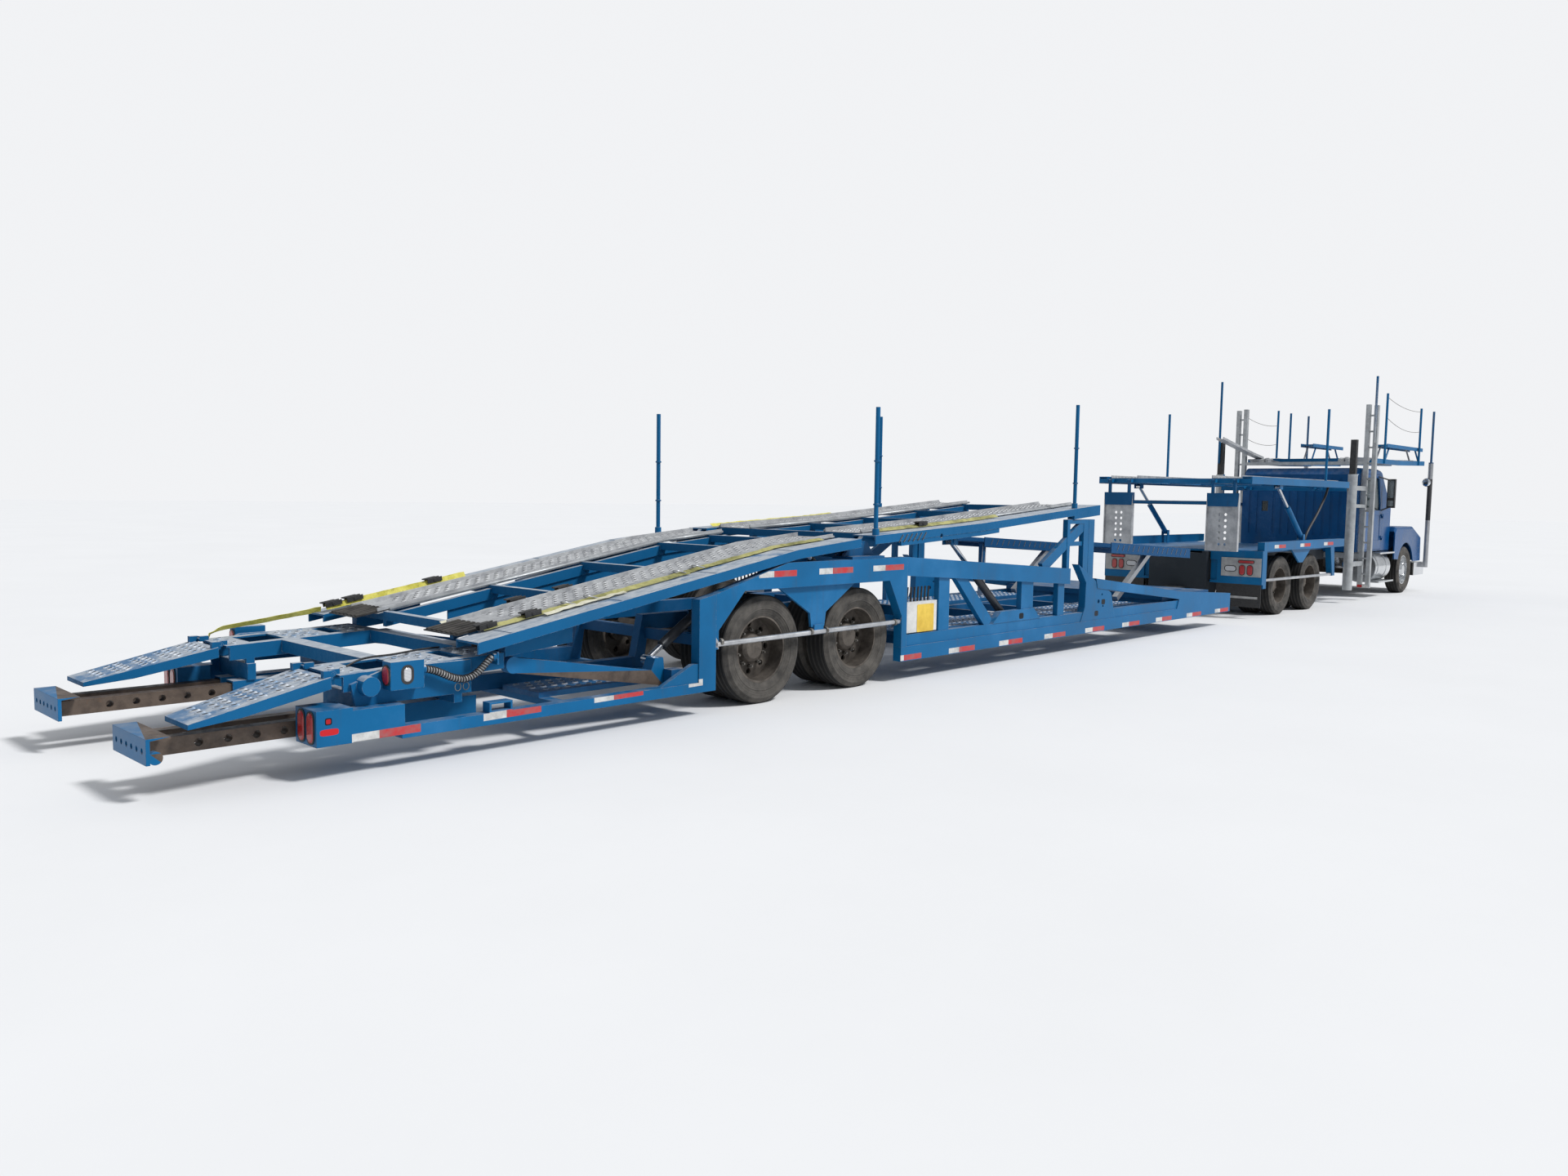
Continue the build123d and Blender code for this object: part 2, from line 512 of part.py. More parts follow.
# Pull-out skids: two pierced rails with the bent end plate.
SKID_LENGTH = 1900
SKID_PLATE_TOP = 375
SKID_HOLE_R = 24
for side_name, side in SIDES:
    skid = block(REAR_TIP, REAR_TIP + 22, *SKID_PLATE_Y, 225, SKID_PLATE_TOP)
    skid = join(skid, block(REAR_TIP, REAR_TIP + 130, *SKID_PLATE_Y,
                            SKID_PLATE_TOP - 14, SKID_PLATE_TOP))
    for i in range(6):
        hole_y = SKID_PLATE_Y[0] + 65 + i * 88
        skid = skid - Pos(REAR_TIP + 11, hole_y, 300) * Rot(0, 90, 0) * Cylinder(17, 80)
    for skid_y in SKID_Y:
        y0 = skid_y - SKID_W / 2
        rail = block(REAR_TIP + 22, REAR_TIP + SKID_LENGTH, y0, y0 + SKID_W, SKID_TOP - SKID_H,
                     SKID_TOP)
        for i in range(9):
            rail = rail - Pos(REAR_TIP + 330 + i * 165, skid_y, SKID_TOP - SKID_H / 2) * Rot(
                90, 0, 0) * Cylinder(SKID_HOLE_R, 2 * SKID_W)
        skid = join(skid, rail)
    foot = rod((REAR_TIP + 50, SKID_PLATE_Y[1] - 42, 262), (REAR_TIP + 50, SKID_PLATE_Y[1], 262), 38)
    skid = join(skid, foot)
    keep("skid_" + side_name, skid if side > 0 else other_side(skid))

# Flip ramps: tapered plates with turned-down sides and hinge lugs.
RAMP_LENGTH = 850
RAMP_TIP_Z = 432
RAMP_PLATE = 14
RAMP_SIDE = 60
RAMP_TIP_IN = 790
ramp_angle = math.atan2(TAIL_Z - RAMP_TIP_Z, RAMP_LENGTH)
ramp_tip_x = TAIL_HINGE_X - RAMP_LENGTH
for side_name, side in SIDES:
    top = Polyline((TAIL_HINGE_X - 20, TAIL_IN), (TAIL_HINGE_X - 20, TAIL_OUT),
                   (ramp_tip_x, TAIL_OUT), (ramp_tip_x, RAMP_TIP_IN), close=True)
    column_shape = extrude(make_face(top), amount=1000)
    rise = math.tan(ramp_angle)
    slab = plate([(ramp_tip_x, RAMP_TIP_Z), (TAIL_HINGE_X - 20, TAIL_Z - 20 * rise),
                  (TAIL_HINGE_X - 20, TAIL_Z - 20 * rise - RAMP_PLATE - RAMP_SIDE),
                  (ramp_tip_x + 300, RAMP_TIP_Z + 300 * rise - RAMP_PLATE - RAMP_SIDE + 10),
                  (ramp_tip_x, RAMP_TIP_Z - RAMP_PLATE - 16)], TAIL_IN - 10, TAIL_OUT + 10)
    slab = slab & column_shape
    hollow_top = Polyline((TAIL_HINGE_X - 40, TAIL_IN + 18), (TAIL_HINGE_X - 40, TAIL_OUT - 18),
                          (ramp_tip_x + 18, TAIL_OUT - 18), (ramp_tip_x + 18, RAMP_TIP_IN + 14),
                          close=True)
    hollow = extrude(make_face(hollow_top), amount=1000) & plate(
        [(ramp_tip_x, RAMP_TIP_Z - RAMP_PLATE),
         (TAIL_HINGE_X, TAIL_Z - RAMP_PLATE), (TAIL_HINGE_X, 0), (ramp_tip_x, 0)],
        TAIL_IN - 10, TAIL_OUT + 10)
    ramp = slab - hollow
    for lug_y in KNUCKLE_Y:
        ramp = join(ramp, block(TAIL_HINGE_X - 60, TAIL_HINGE_X, lug_y, lug_y + KNUCKLE_W,
                                TAIL_Z - 22, HINGE_Z + KNUCKLE_R))
        ramp = join(ramp, rod((TAIL_HINGE_X, lug_y, HINGE_Z),
                              (TAIL_HINGE_X, lug_y + KNUCKLE_W, HINGE_Z), KNUCKLE_R))
        ramp = ramp - rod((TAIL_HINGE_X, lug_y - 5, HINGE_Z),
                          (TAIL_HINGE_X, lug_y + KNUCKLE_W + 5, HINGE_Z), HINGE_PIN_R + 0.05)
    keep("flip_ramp_" + side_name, ramp if side > 0 else other_side(ramp))

# Deck A, the rear upper deck: flanged side rails with a kink, cross tubes and wheel tracks.
DECKA_REAR = -10210
DECKA_KINK = -7100
DECKA_FRONT = DECK_JOINT_X - 100
DECKA_LINE = ((DECKA_REAR, 762), (DECKA_KINK, 1305), (DECKA_FRONT, 1385))
DECK_OUT = HALF - 5
RAIL_FLANGE = 280
RAIL_WEB = 80
RAIL_T = 14
TRACK2_IN = 520
TRACK2_OUT = DECK_OUT - 315


def soften(shape, radius, test):
    """Round the edges of a shape whose middle passes the test."""
    return fillet([edge for edge in shape.edges() if test(edge @ 0.5)], radius)


def line_z(line, x):
    """Height of a deck's top line at x."""
    for (x0, z0), (x1, z1) in zip(line, line[1:]):
        if x <= x1:
            return lerp(z0, z1, (x - x0) / (x1 - x0))
    return line[-1][1]


def band(line, top, depth, y0, y1):
    """A strip that follows a deck's line, its top so far below the line and as deep as given."""
    upper = [(x, z - top) for x, z in line]
    lower = [(x, z - top - depth) for x, z in reversed(line)]
    return plate(upper + lower, y0, y1)


def side_rail(line):
    """A deck rail: a wide worn flange on a narrow outer web with an inner lip."""
    return join(band(line, 0, RAIL_T, DECK_OUT - RAIL_FLANGE, DECK_OUT),
                band(line, 0, RAIL_WEB, DECK_OUT - RAIL_T, DECK_OUT),
                band(line, 0, RAIL_WEB - 20, DECK_OUT - RAIL_FLANGE, DECK_OUT - RAIL_FLANGE + RAIL_T))


def deck_track(x0, x1, line, y0, y1):
    """A pair of wheel tracks on a deck's line: flat plate with upturned edges."""
    part_line = [(x0, line_z(line, x0))] + [p for p in line if x0 < p[0] < x1]
    part_line.append((x1, line_z(line, x1)))
    pieces = join(band(part_line, -6, 12, y0, y1), band(part_line, -40, 46, y0, y0 + 12),
                  band(part_line, -40, 46, y1 - 12, y1))
    return pieces


POLE_R = 21
POLE_Y = DECK_OUT - 42


def pole(x, sign, top, line):
    """A tie-down pole on a deck's side rail, with its foot collar and two rings."""
    y = sign * POLE_Y
    base = line_z(line, x)
    bar = join(rod((x, y, base - 6), (x, y, top), POLE_R), rod((x, y, base - 6), (x, y, base + 60),
                                                              POLE_R + 12))
    for ring_z in (900, 500):
        bar = join(bar, rod((x, y, top - ring_z), (x, y, top - ring_z + 14), POLE_R + 9))
    return bar


POLE_A_TOP = 2590
decka = side_rail(DECKA_LINE)
decka = join(decka, other_side(decka))
inner_rail = band(((-9950, line_z(DECKA_LINE, -9950)), DECKA_LINE[1], DECKA_LINE[2]), 24, 90, 480, 530)
inner_web = band(((-9400, line_z(DECKA_LINE, -9400)), DECKA_LINE[1], DECKA_LINE[2]), 24, 200, 500, 512)
decka = join(decka, inner_rail, other_side(inner_rail), inner_web, other_side(inner_web),
             pole(-6530, 1, POLE_A_TOP, DECKA_LINE))
CROSS_A = (-9950, -9000, -8050, -7150, -6500)
for cross_x in CROSS_A:
    z = line_z(DECKA_LINE, cross_x + 35) - 2
    decka = join(decka, block(cross_x, cross_x + 70, -DECK_OUT + RAIL_T, DECK_OUT - RAIL_T,
                              z - 70, z))
DECKA_PIVOT = (DECK_JOINT_X - 60, DECK_PIVOT_Z)
PIVOT_EAR_Y = (SIDE_IN - 110, SIDE_IN - 60)
PIVOT_PIN_R = 30
for sign in (1, -1):
    y0, y1 = sorted((sign * PIVOT_EAR_Y[0], sign * PIVOT_EAR_Y[1]))
    ear = join(plate([(DECKA_FRONT - 260, line_z(DECKA_LINE, DECKA_FRONT - 260) - 10),
                      (DECKA_FRONT, DECKA_LINE[2][1] - 10), (DECKA_PIVOT[0] + 20, DECK_PIVOT_Z + 10),
                      (DECKA_PIVOT[0] + 20, DECK_PIVOT_Z - 30),
                      (DECKA_FRONT - 200, DECK_PIVOT_Z - 60)], y0, y1),
               rod((DECKA_PIVOT[0], y0, DECK_PIVOT_Z), (DECKA_PIVOT[0], y1, DECK_PIVOT_Z), 44))
    ear = ear - rod((DECKA_PIVOT[0], y0 - 5, DECK_PIVOT_Z), (DECKA_PIVOT[0], y1 + 5, DECK_PIVOT_Z),
                    PIVOT_PIN_R + 0.05)
    decka = join(decka, ear)
ARM_PIVOT = (-8420, 312)
ARM_EYE = (-9840, 560)
ARM_Y = SIDE_IN - 100
ARM_W = 80
ROLLER_R = 60
WEAR_RISE = 0.1
for sign in (1, -1):
    y0, y1 = sorted((sign * (ARM_Y - ARM_W / 2), sign * (ARM_Y + ARM_W / 2)))
    wear_x0 = ARM_EYE[0] - 70
    wear_x1 = ARM_EYE[0] + 500
    wear_z = ARM_EYE[1] + ROLLER_R + 12
    wear = plate([(wear_x0, wear_z - 7), (wear_x1, wear_z - 7 + WEAR_RISE * (wear_x1 - wear_x0)),
                  (wear_x1, line_z(DECKA_LINE, wear_x1) - 8), (wear_x0, line_z(DECKA_LINE, wear_x0) - 8)],
                 y0, y1)
    decka = join(decka, wear)
keep("rear_deck_frame", decka)
tracka = deck_track(-10000, DECKA_FRONT - 40, DECKA_LINE, TRACK2_IN, TRACK2_OUT)
tracka = tracka - decka
keep("rear_deck_tracks", tracka, other_side(tracka))

# Deck C, the front upper deck: deeper arms, tracks and the pole sockets.
DECKC_REAR = DECK_JOINT_X + 100
DECKC_FRONT = -1860
DECKC_LINE = ((DECKC_REAR, 1410), (-4340, 1510), (DECKC_FRONT, 1710))
DECKC_PIVOT = (DECK_JOINT_X + 60, DECK_PIVOT_Z)
ARM_C_REAR = -5670
ARM_C_FRONT = -4300
FRONT_CAP_D = 120
deckc = side_rail(DECKC_LINE)
arm_line = ((ARM_C_REAR, line_z(DECKC_LINE, ARM_C_REAR)), DECKC_LINE[1],
            (ARM_C_FRONT + 300, line_z(DECKC_LINE, ARM_C_FRONT + 300)))
deckc = join(deckc, band(arm_line, 10, 115, DECK_OUT - 60, DECK_OUT - 4))
cap_line = ((TOWER_X - 310, line_z(DECKC_LINE, TOWER_X - 310)), DECKC_LINE[2])
deckc = join(deckc, band(cap_line, 0, FRONT_CAP_D, DECK_OUT - 90, DECK_OUT))
deckc = deckc - rod((-5030, 1100, 1395), (-5030, 1400, 1395), 22)
deckc = join(deckc, other_side(deckc))
inner_rail = band(((-5900, line_z(DECKC_LINE, -5900)), DECKC_LINE[1],
                   (-2000, line_z(DECKC_LINE, -2000))), 24, 90, 480, 530)
deckc = join(deckc, inner_rail, other_side(inner_rail))
CROSS_C = (-5900, -5000, -4100, -3100, -2100)
for cross_x in CROSS_C:
    z = line_z(DECKC_LINE, cross_x + 35) - 2
    deckc = join(deckc, block(cross_x, cross_x + 70, -DECK_OUT + RAIL_T, DECK_OUT - RAIL_T,
                              z - 70, z))
for sign in (1, -1):
    y0, y1 = sorted((sign * PIVOT_EAR_Y[0], sign * PIVOT_EAR_Y[1]))
    ear = join(plate([(DECKC_REAR, DECKC_LINE[0][1] - 10), (DECKC_REAR + 260, 1410),
                      (DECKC_REAR + 200, DECK_PIVOT_Z - 30), (DECKC_PIVOT[0] - 20, DECK_PIVOT_Z - 30),
                      (DECKC_PIVOT[0] - 20, DECK_PIVOT_Z + 10)], y0, y1),
               rod((DECKC_PIVOT[0], y0, DECK_PIVOT_Z), (DECKC_PIVOT[0], y1, DECK_PIVOT_Z), 44))
    ear = ear - rod((DECKC_PIVOT[0], y0 - 5, DECK_PIVOT_Z), (DECKC_PIVOT[0], y1 + 5, DECK_PIVOT_Z),
                    PIVOT_PIN_R + 0.05)
    deckc = join(deckc, ear)
DECKC_POLES = ((DECKC_REAR + 50, -1, 2590), (-2390, -1, 2850), (-2870, 1, 2780))
poles = [pole(pole_x, sign, top, DECKC_LINE) for pole_x, sign, top in DECKC_POLES]
lift_ear = block(LIFT_C[1][0] - 60, LIFT_C[1][0] + 60, LIFT_C_Y + 46, LIFT_C_Y + 56, LIFT_C[1][1] - 40,
                 line_z(DECKC_LINE, LIFT_C[1][0] - 60) - 8)
head = rod((LIFT_C[1][0], LIFT_C_Y + 52, LIFT_C[1][1]), (LIFT_C[1][0], LIFT_C_Y + 66, LIFT_C[1][1]), 27)
inner_ear = Pos(0, -102, 0) * lift_ear
deckc = join(deckc, lift_ear, inner_ear, head, other_side(lift_ear), other_side(inner_ear),
             other_side(head))
deckc = join(deckc, *poles)
keep("front_deck_frame", deckc)
trackc = deck_track(-5900, -1980, DECKC_LINE, TRACK2_IN, TRACK2_OUT)
trackc = trackc - deckc
keep("front_deck_tracks", trackc, other_side(trackc))

# Deck pivots: brackets on the wheel wells with one pin each, and the cross tube between them.
bracket_parts = []
for sign in (1, -1):
    lug_pairs = []
    for y0, y1 in ((PIVOT_EAR_Y[0] - 40, PIVOT_EAR_Y[0] - RUN_GAP),
                   (PIVOT_EAR_Y[1] + RUN_GAP, PIVOT_EAR_Y[1] + 40)):
        a, b = sorted((sign * y0, sign * y1))
        lug_pairs.append(plate([(DECK_JOINT_X - 230, WELL_TOP), (DECK_JOINT_X + 230, WELL_TOP),
                                (DECKC_PIVOT[0] + 40, DECK_PIVOT_Z + 30),
                                (DECKA_PIVOT[0] - 40, DECK_PIVOT_Z + 30)], a, b))
    a, b = sorted((sign * (PIVOT_EAR_Y[0] - 40), sign * (PIVOT_EAR_Y[1] + 40)))
    pins = [rod((pin_x, a, DECK_PIVOT_Z), (pin_x, b, DECK_PIVOT_Z), PIVOT_PIN_R)
            for pin_x in (DECKA_PIVOT[0], DECKC_PIVOT[0])]
    c, d = sorted((sign * (PIVOT_EAR_Y[0] - 40), sign * HALF))
    seat = block(DECK_JOINT_X - 230, DECK_JOINT_X + 230, c, d, WELL_TOP, WELL_TOP + 25)
    bracket_parts.append(join(seat, *lug_pairs, *pins))
pivot_tube = block(DECK_JOINT_X - 45, DECK_JOINT_X + 45, -PIVOT_EAR_Y[0] + 40, PIVOT_EAR_Y[0] - 40,
                   WELL_TOP, WELL_TOP + 90)
bracket = join(*bracket_parts, pivot_tube)

# Lift arms under deck A, with their cylinders.
ARM_BODY = 110
arm_parts = []
for sign in (1, -1):
    y0, y1 = sorted((sign * (ARM_Y - ARM_W / 2), sign * (ARM_Y + ARM_W / 2)))
    arm = join(strut(ARM_PIVOT, ARM_EYE, ARM_BODY, y0, y1),
               rod((ARM_PIVOT[0], y0, ARM_PIVOT[1]), (ARM_PIVOT[0], y1, ARM_PIVOT[1]), 70),
               rod((ARM_EYE[0], y0, ARM_EYE[1]), (ARM_EYE[0], y1, ARM_EYE[1]), ROLLER_R))
    arm = arm - rod((ARM_PIVOT[0], y0 - 5, ARM_PIVOT[1]), (ARM_PIVOT[0], y1 + 5, ARM_PIVOT[1]), 25.05)
    y0, y1 = sorted((sign * (LIFT_A_Y + 44), sign * (ARM_Y + ARM_W / 2)))
    horn = plate([(LIFT_A[1][0] - 110, 330), (LIFT_A[1][0] - 40, LIFT_A[1][1] + 30),
                  (LIFT_A[1][0] + 40, LIFT_A[1][1] + 30), (LIFT_A[1][0] + 60, 330)], y0, y1)
    arm_parts.append(join(arm, horn))
arm_tie = rod((ARM_EYE[0] + 260, -ARM_Y + ARM_W / 2, ARM_EYE[1] - 48),
              (ARM_EYE[0] + 260, ARM_Y - ARM_W / 2, ARM_EYE[1] - 48), 35)
arms = join(*arm_parts, arm_tie)
keep("rear_lift_arms", arms)

# Cylinders: a barrel with its eye, and a rod whose outer eye stands clear of its pin.
BARREL_R = 42
CYL_ROD_R = 24
EYE_R = 38


def cylinder_pair(name, base, eye, lane, share):
    """Barrels and rods on both sides. The barrel takes the given share of the closed length."""
    length = math.dist(base, eye)
    ux = (eye[0] - base[0]) / length
    uz = (eye[1] - base[1]) / length
    barrel_end = share * length
    barrels = []
    rods = []
    for sign in (1, -1):
        y = sign * lane

        def at(distance):
            return (base[0] + ux * distance, y, base[1] + uz * distance)

        y0, y1 = y - 32, y + 32
        barrel = join(rod(at(20), at(barrel_end), BARREL_R),
                      rod((base[0], y0, base[1]), (base[0], y1, base[1]), EYE_R))
        barrel = barrel - rod(at(EYE_R + 30), at(barrel_end + 5), CYL_ROD_R + SEAT_GAP)
        barrel = barrel - rod((base[0], y0 - 5, base[1]), (base[0], y1 + 5, base[1]), 20.05)
        barrels.append(barrel)
        start = barrel_end - 0.35 * length
        shaft = join(rod(at(start), at(length - 10), CYL_ROD_R),
                     rod((eye[0], y0, eye[1]), (eye[0], y1, eye[1]), EYE_R))
        shaft = join(shaft, rod((eye[0], y0 - 8, eye[1]), (eye[0], y1 + 8, eye[1]), 20))
        rods.append(shaft)
    keep(name + "_barrels", *barrels)
    keep(name + "_rods", *rods)


cylinder_pair("rear_lift", LIFT_A[0], LIFT_A[1], LIFT_A_Y, 0.7)
cylinder_pair("front_lift", LIFT_C[0], LIFT_C[1], LIFT_C_Y, 0.62)
cylinder_pair("upper_lift", LIFT_2[0], LIFT_2[1], LIFT_2_Y, 0.6)


def clevis(base, lane, plane_z, reach):
    """Two ears and a pin that hold a barrel's eye, standing on the surface below it."""
    parts = []
    for sign in (1, -1):
        y = sign * lane
        ears = [block(base[0] - reach, base[0] + reach, y + off, y + off + 10, plane_z, base[1] + 30)
                for off in (-56, 46)]
        pin = rod((base[0], y - 56, base[1]), (base[0], y + 56, base[1]), 20)
        parts.append(join(ears[0], pin, ears[1]))
    return parts


SEAT_A_Z = OVER_AXLE + 20
clevis_a = clevis(LIFT_A[0], LIFT_A_Y, SEAT_A_Z, 32)
seat_a = block(COLUMN_X + 20, LIFT_A[0][0] + 32, LIFT_A_Y - 56, LIFT_A_Y + 56, SEAT_A_Z,
               SEAT_A_Z + 12)
clevis_c = clevis(LIFT_C[0], LIFT_C_Y, FLOOR_TOP + 30, 36)
arm_stub = rod((ARM_PIVOT[0], ARM_Y - ARM_W / 2 - 10, ARM_PIVOT[1]), (ARM_PIVOT[0], SIDE_IN + 40,
                                                             ARM_PIVOT[1]), 25)
arm_hanger = block(ARM_PIVOT[0] - 60, ARM_PIVOT[0] + 60, ARM_Y + ARM_W / 2 + RUN_GAP, SIDE_IN + 40,
                   REAR_RAIL_TOP, 400)
arm_hanger = join(arm_hanger, arm_stub)
keep("deck_brackets", bracket, join(clevis_a[0], seat_a), join(clevis_a[1], other_side(seat_a)),
     *clevis_c, arm_hanger, other_side(arm_hanger))

# Nose ramps: slotted troughs on a strut each, over the neck.
NOSE_RAMP_LINE = ((-1280, 1190), (970, 1060))
NOSE_RAMP_Y = (700, SIDE_IN - 50)
nose_ramp = band(NOSE_RAMP_LINE, 0, 14, *NOSE_RAMP_Y)
for y0 in (NOSE_RAMP_Y[0], NOSE_RAMP_Y[1] - 14):
    nose_ramp = join(nose_ramp, band(NOSE_RAMP_LINE, -60, 130, y0, y0 + 14))
for slot_x in range(-1100, -200, 130):
    nose_ramp = nose_ramp - block(slot_x, slot_x + 50, NOSE_RAMP_Y[0] + 60, NOSE_RAMP_Y[1] - 60,
                                  900, 1300)
nose_strut = strut((470, 1050), (-420, 480), 70, NOSE_RAMP_Y[0] + 40, NOSE_RAMP_Y[0] + 110)
nose_leg = block(-1260, -1190, NOSE_RAMP_Y[0] + 40, NOSE_RAMP_Y[0] + 110, FLOOR_TOP + 30, 1180)
nose_ramp = join(nose_ramp, nose_strut, nose_leg)
nose_ramp = nose_ramp - block(-3000, 3000, 0, HALF, 0, FLOOR_TOP + 30)
keep("nose_ramps", nose_ramp, other_side(nose_ramp))

# Valve box beside the front of the wheel well: a white panel, a recess and lever handles.
VALVE_X = (WELL_FRONT + 40, -5050)
valve_panel = block(*VALVE_X, HALF - 70, HALF - 30, SILL_TOP + 12, 760)
valve_body = block(VALVE_X[0], VALVE_X[1], SIDE_IN - 60, HALF - 70, SILL_TOP, 740)
valves = join(valve_panel, valve_body)
for i in range(7):
    lever_x = VALVE_X[0] + 70 + i * 56
    valves = join(valves, rod((lever_x, HALF - 90, 735), (lever_x, HALF - 80, 900), 9))
valves = valves - well
keep("valve_box", valves, other_side(valves))

# Tractor frame: two rails, cross members, the drop to the stinger and the low fifth wheel.
FRAME_REAR = TRACTOR_REAR - 90
STINGER_HALF = 165
STINGER_BOTTOM = 300
STINGER_TOP = 430
PLATE_TOP = NECK_BOTTOM - 6
FRAME_BOTTOM = FRAME_TOP - FRAME_DEPTH
frame = None
for sign in (1, -1):
    y0, y1 = sorted((sign * (FRAME_Y - FRAME_THICK / 2), sign * (FRAME_Y + FRAME_THICK / 2)))
    rail = block(FRAME_REAR, HOOD_FRONT - 110, y0, y1, FRAME_BOTTOM, FRAME_TOP)
    drop = plate([(FRAME_REAR, FRAME_TOP), (FRAME_REAR, STINGER_BOTTOM), (FRAME_REAR + 330,
                  STINGER_BOTTOM), (FRAME_REAR + 640, FRAME_BOTTOM), (FRAME_REAR + 640, FRAME_TOP)],
                 y0, y1)
    side = join(rail, drop)
    frame = side if frame is None else join(frame, side)
MEMBERS = (FRAME_REAR, 3700, 4900, 6300, 7500, 8700, 11720)
for member_x in MEMBERS:
    frame = join(frame, block(member_x, member_x + 120, -FRAME_Y, FRAME_Y, FRAME_BOTTOM + 20,
                              FRAME_TOP - 30))
frame = join(frame, block(FRAME_REAR, FRAME_REAR + 140, -FRAME_Y, FRAME_Y, STINGER_BOTTOM,
                          FRAME_TOP - 30))
stinger = block(PIVOT_X, FRAME_REAR + 60, -STINGER_HALF, STINGER_HALF, STINGER_BOTTOM, STINGER_TOP)
table = rod((PIVOT_X, 0, STINGER_BOTTOM), (PIVOT_X, 0, PLATE_TOP), 235)
frame = join(frame, stinger, table)
frame = frame - rod((PIVOT_X, 0, 0), (PIVOT_X, 0, 800), KINGPIN_R + 0.05)
keep("tractor_frame", frame)

# Rear body: floor over the drives, rear wall with its recess, side beams, columns and guards.
BODY_FLOOR = (FRAME_TOP, FRAME_TOP + 34)
BEAM_FRONT = 6820
WALL_T = 60
floor = block(TRACTOR_REAR, 6400, -SIDE_IN, SIDE_IN, *BODY_FLOOR)
wall = block(TRACTOR_REAR, TRACTOR_REAR + WALL_T, -HALF, HALF, 520, BODY_FLOOR[1])
wall = wall - block(TRACTOR_REAR - 10, TRACTOR_REAR + 30, -600, 600, 560, 880)
wall = wall - block(TRACTOR_REAR - 10, TRACTOR_REAR + WALL_T + 10, -FRAME_Y - 60, FRAME_Y + 60, 0,
                    BODY_FLOOR[0])
body = join(floor, wall)
side_beam = block(TRACTOR_REAR + 50, BEAM_FRONT, SIDE_IN, HALF, BEAM_TOP - BEAM_DEPTH, BEAM_TOP)
seam = block(TRACTOR_REAR + 60, 6400, SIDE_IN - 14, SIDE_IN, BODY_FLOOR[0], BEAM_TOP)
rear_col = block(TRACTOR_REAR + 50, TRACTOR_REAR + 170, SIDE_IN, HALF, 460, BEAM_TOP - BEAM_DEPTH)
front_col = plate([(6150, BEAM_TOP - BEAM_DEPTH), (6330, BEAM_TOP - BEAM_DEPTH), (6400, 540),
                   (6280, 540)], SIDE_IN, HALF)
v_gusset = plate([(DRIVE_X - 430, BEAM_TOP - BEAM_DEPTH), (DRIVE_X + 430, BEAM_TOP - BEAM_DEPTH),
                  (DRIVE_X + 80, 810), (DRIVE_X - 80, 810)], HALF - 66, HALF - 40)
guard = rod((TRACTOR_REAR + 120, GUARD_Y, GUARD_Z), (6340, GUARD_Y, GUARD_Z - 20), GUARD_R)
flap = block(TRACTOR_REAR, TRACTOR_REAR + 12, 600, HALF - 10, 170, 520)
side = join(side_beam, seam, rear_col, front_col, v_gusset, guard, flap)
body = join(body, side, other_side(side))
clevis_2 = []
for sign in (1, -1):
    for off, foot_z in ((-56, BODY_FLOOR[1] - 2), (46, BEAM_TOP - 2)):
        y0, y1 = sorted((sign * (LIFT_2_Y + off), sign * (LIFT_2_Y + off + 10)))
        clevis_2.append(block(LIFT_2[0][0] - 40, LIFT_2[0][0] + 40, y0, y1, foot_z, LIFT_2[0][1] + 34))
    clevis_2.append(rod((LIFT_2[0][0], sign * (LIFT_2_Y - 56), LIFT_2[0][1]),
                        (LIFT_2[0][0], sign * (LIFT_2_Y + 56), LIFT_2[0][1]), 20))
body = join(body, *clevis_2)
keep("tractor_rear_body", body)

# Drive axles: housings with a round centre casing, hung under the frame.
drive_half = AXLE_HALF
housings = []
for row, axle_x in DRIVE_AXLES:
    housing = rod((axle_x, -drive_half, TYRE_R), (axle_x, drive_half, TYRE_R), 80)
    housing = join(housing, rod((axle_x - 150, 0, TYRE_R), (axle_x + 190, 0, TYRE_R), 170))
    for sign in (1, -1):
        y0, y1 = sorted((sign * 380, sign * 480))
        housing = join(housing, block(axle_x - 70, axle_x + 70, y0, y1, TYRE_R, FRAME_BOTTOM - 0.3))
    housings.append(housing)
shaft = rod((DRIVE_AXLES[0][1] + 190, 0, TYRE_R + 30), (DRIVE_AXLES[1][1] - 150, 0, TYRE_R + 30), 40)
drive_axles = join(*housings, shaft)

# Front axle: dropped beam with an end boss that the knuckle's two yokes hold.
KING_Y = STEER_Y - 150
BOSS_HALF = 55
YOKE = 40
axle = block(STEER_X - 50, STEER_X + 50, -700, 700, 330, 430)
for sign in (1, -1):
    y0, y1 = sorted((sign * 640, sign * KING_Y))
    rise = plate([(STEER_X - 50, TYRE_R - BOSS_HALF + 3), (STEER_X + 50, TYRE_R - BOSS_HALF + 3),
                  (STEER_X + 40, 510), (STEER_X - 40, 510)], y0, y1)
    pad_y0, pad_y1 = sorted((sign * 380, sign * 480))
    pad = block(STEER_X - 60, STEER_X + 60, pad_y0, pad_y1, 420, FRAME_BOTTOM - 0.3)
    boss = rod((STEER_X, sign * KING_Y, TYRE_R - BOSS_HALF), (STEER_X, sign * KING_Y,
                                                             TYRE_R + BOSS_HALF), 48)
    pin = rod((STEER_X, sign * KING_Y, TYRE_R - BOSS_HALF - YOKE - RUN_GAP),
              (STEER_X, sign * KING_Y, TYRE_R + BOSS_HALF + YOKE + RUN_GAP), 20)
    axle = join(axle, rise, boss, pin, pad)
keep("tractor_axles", drive_axles, axle)
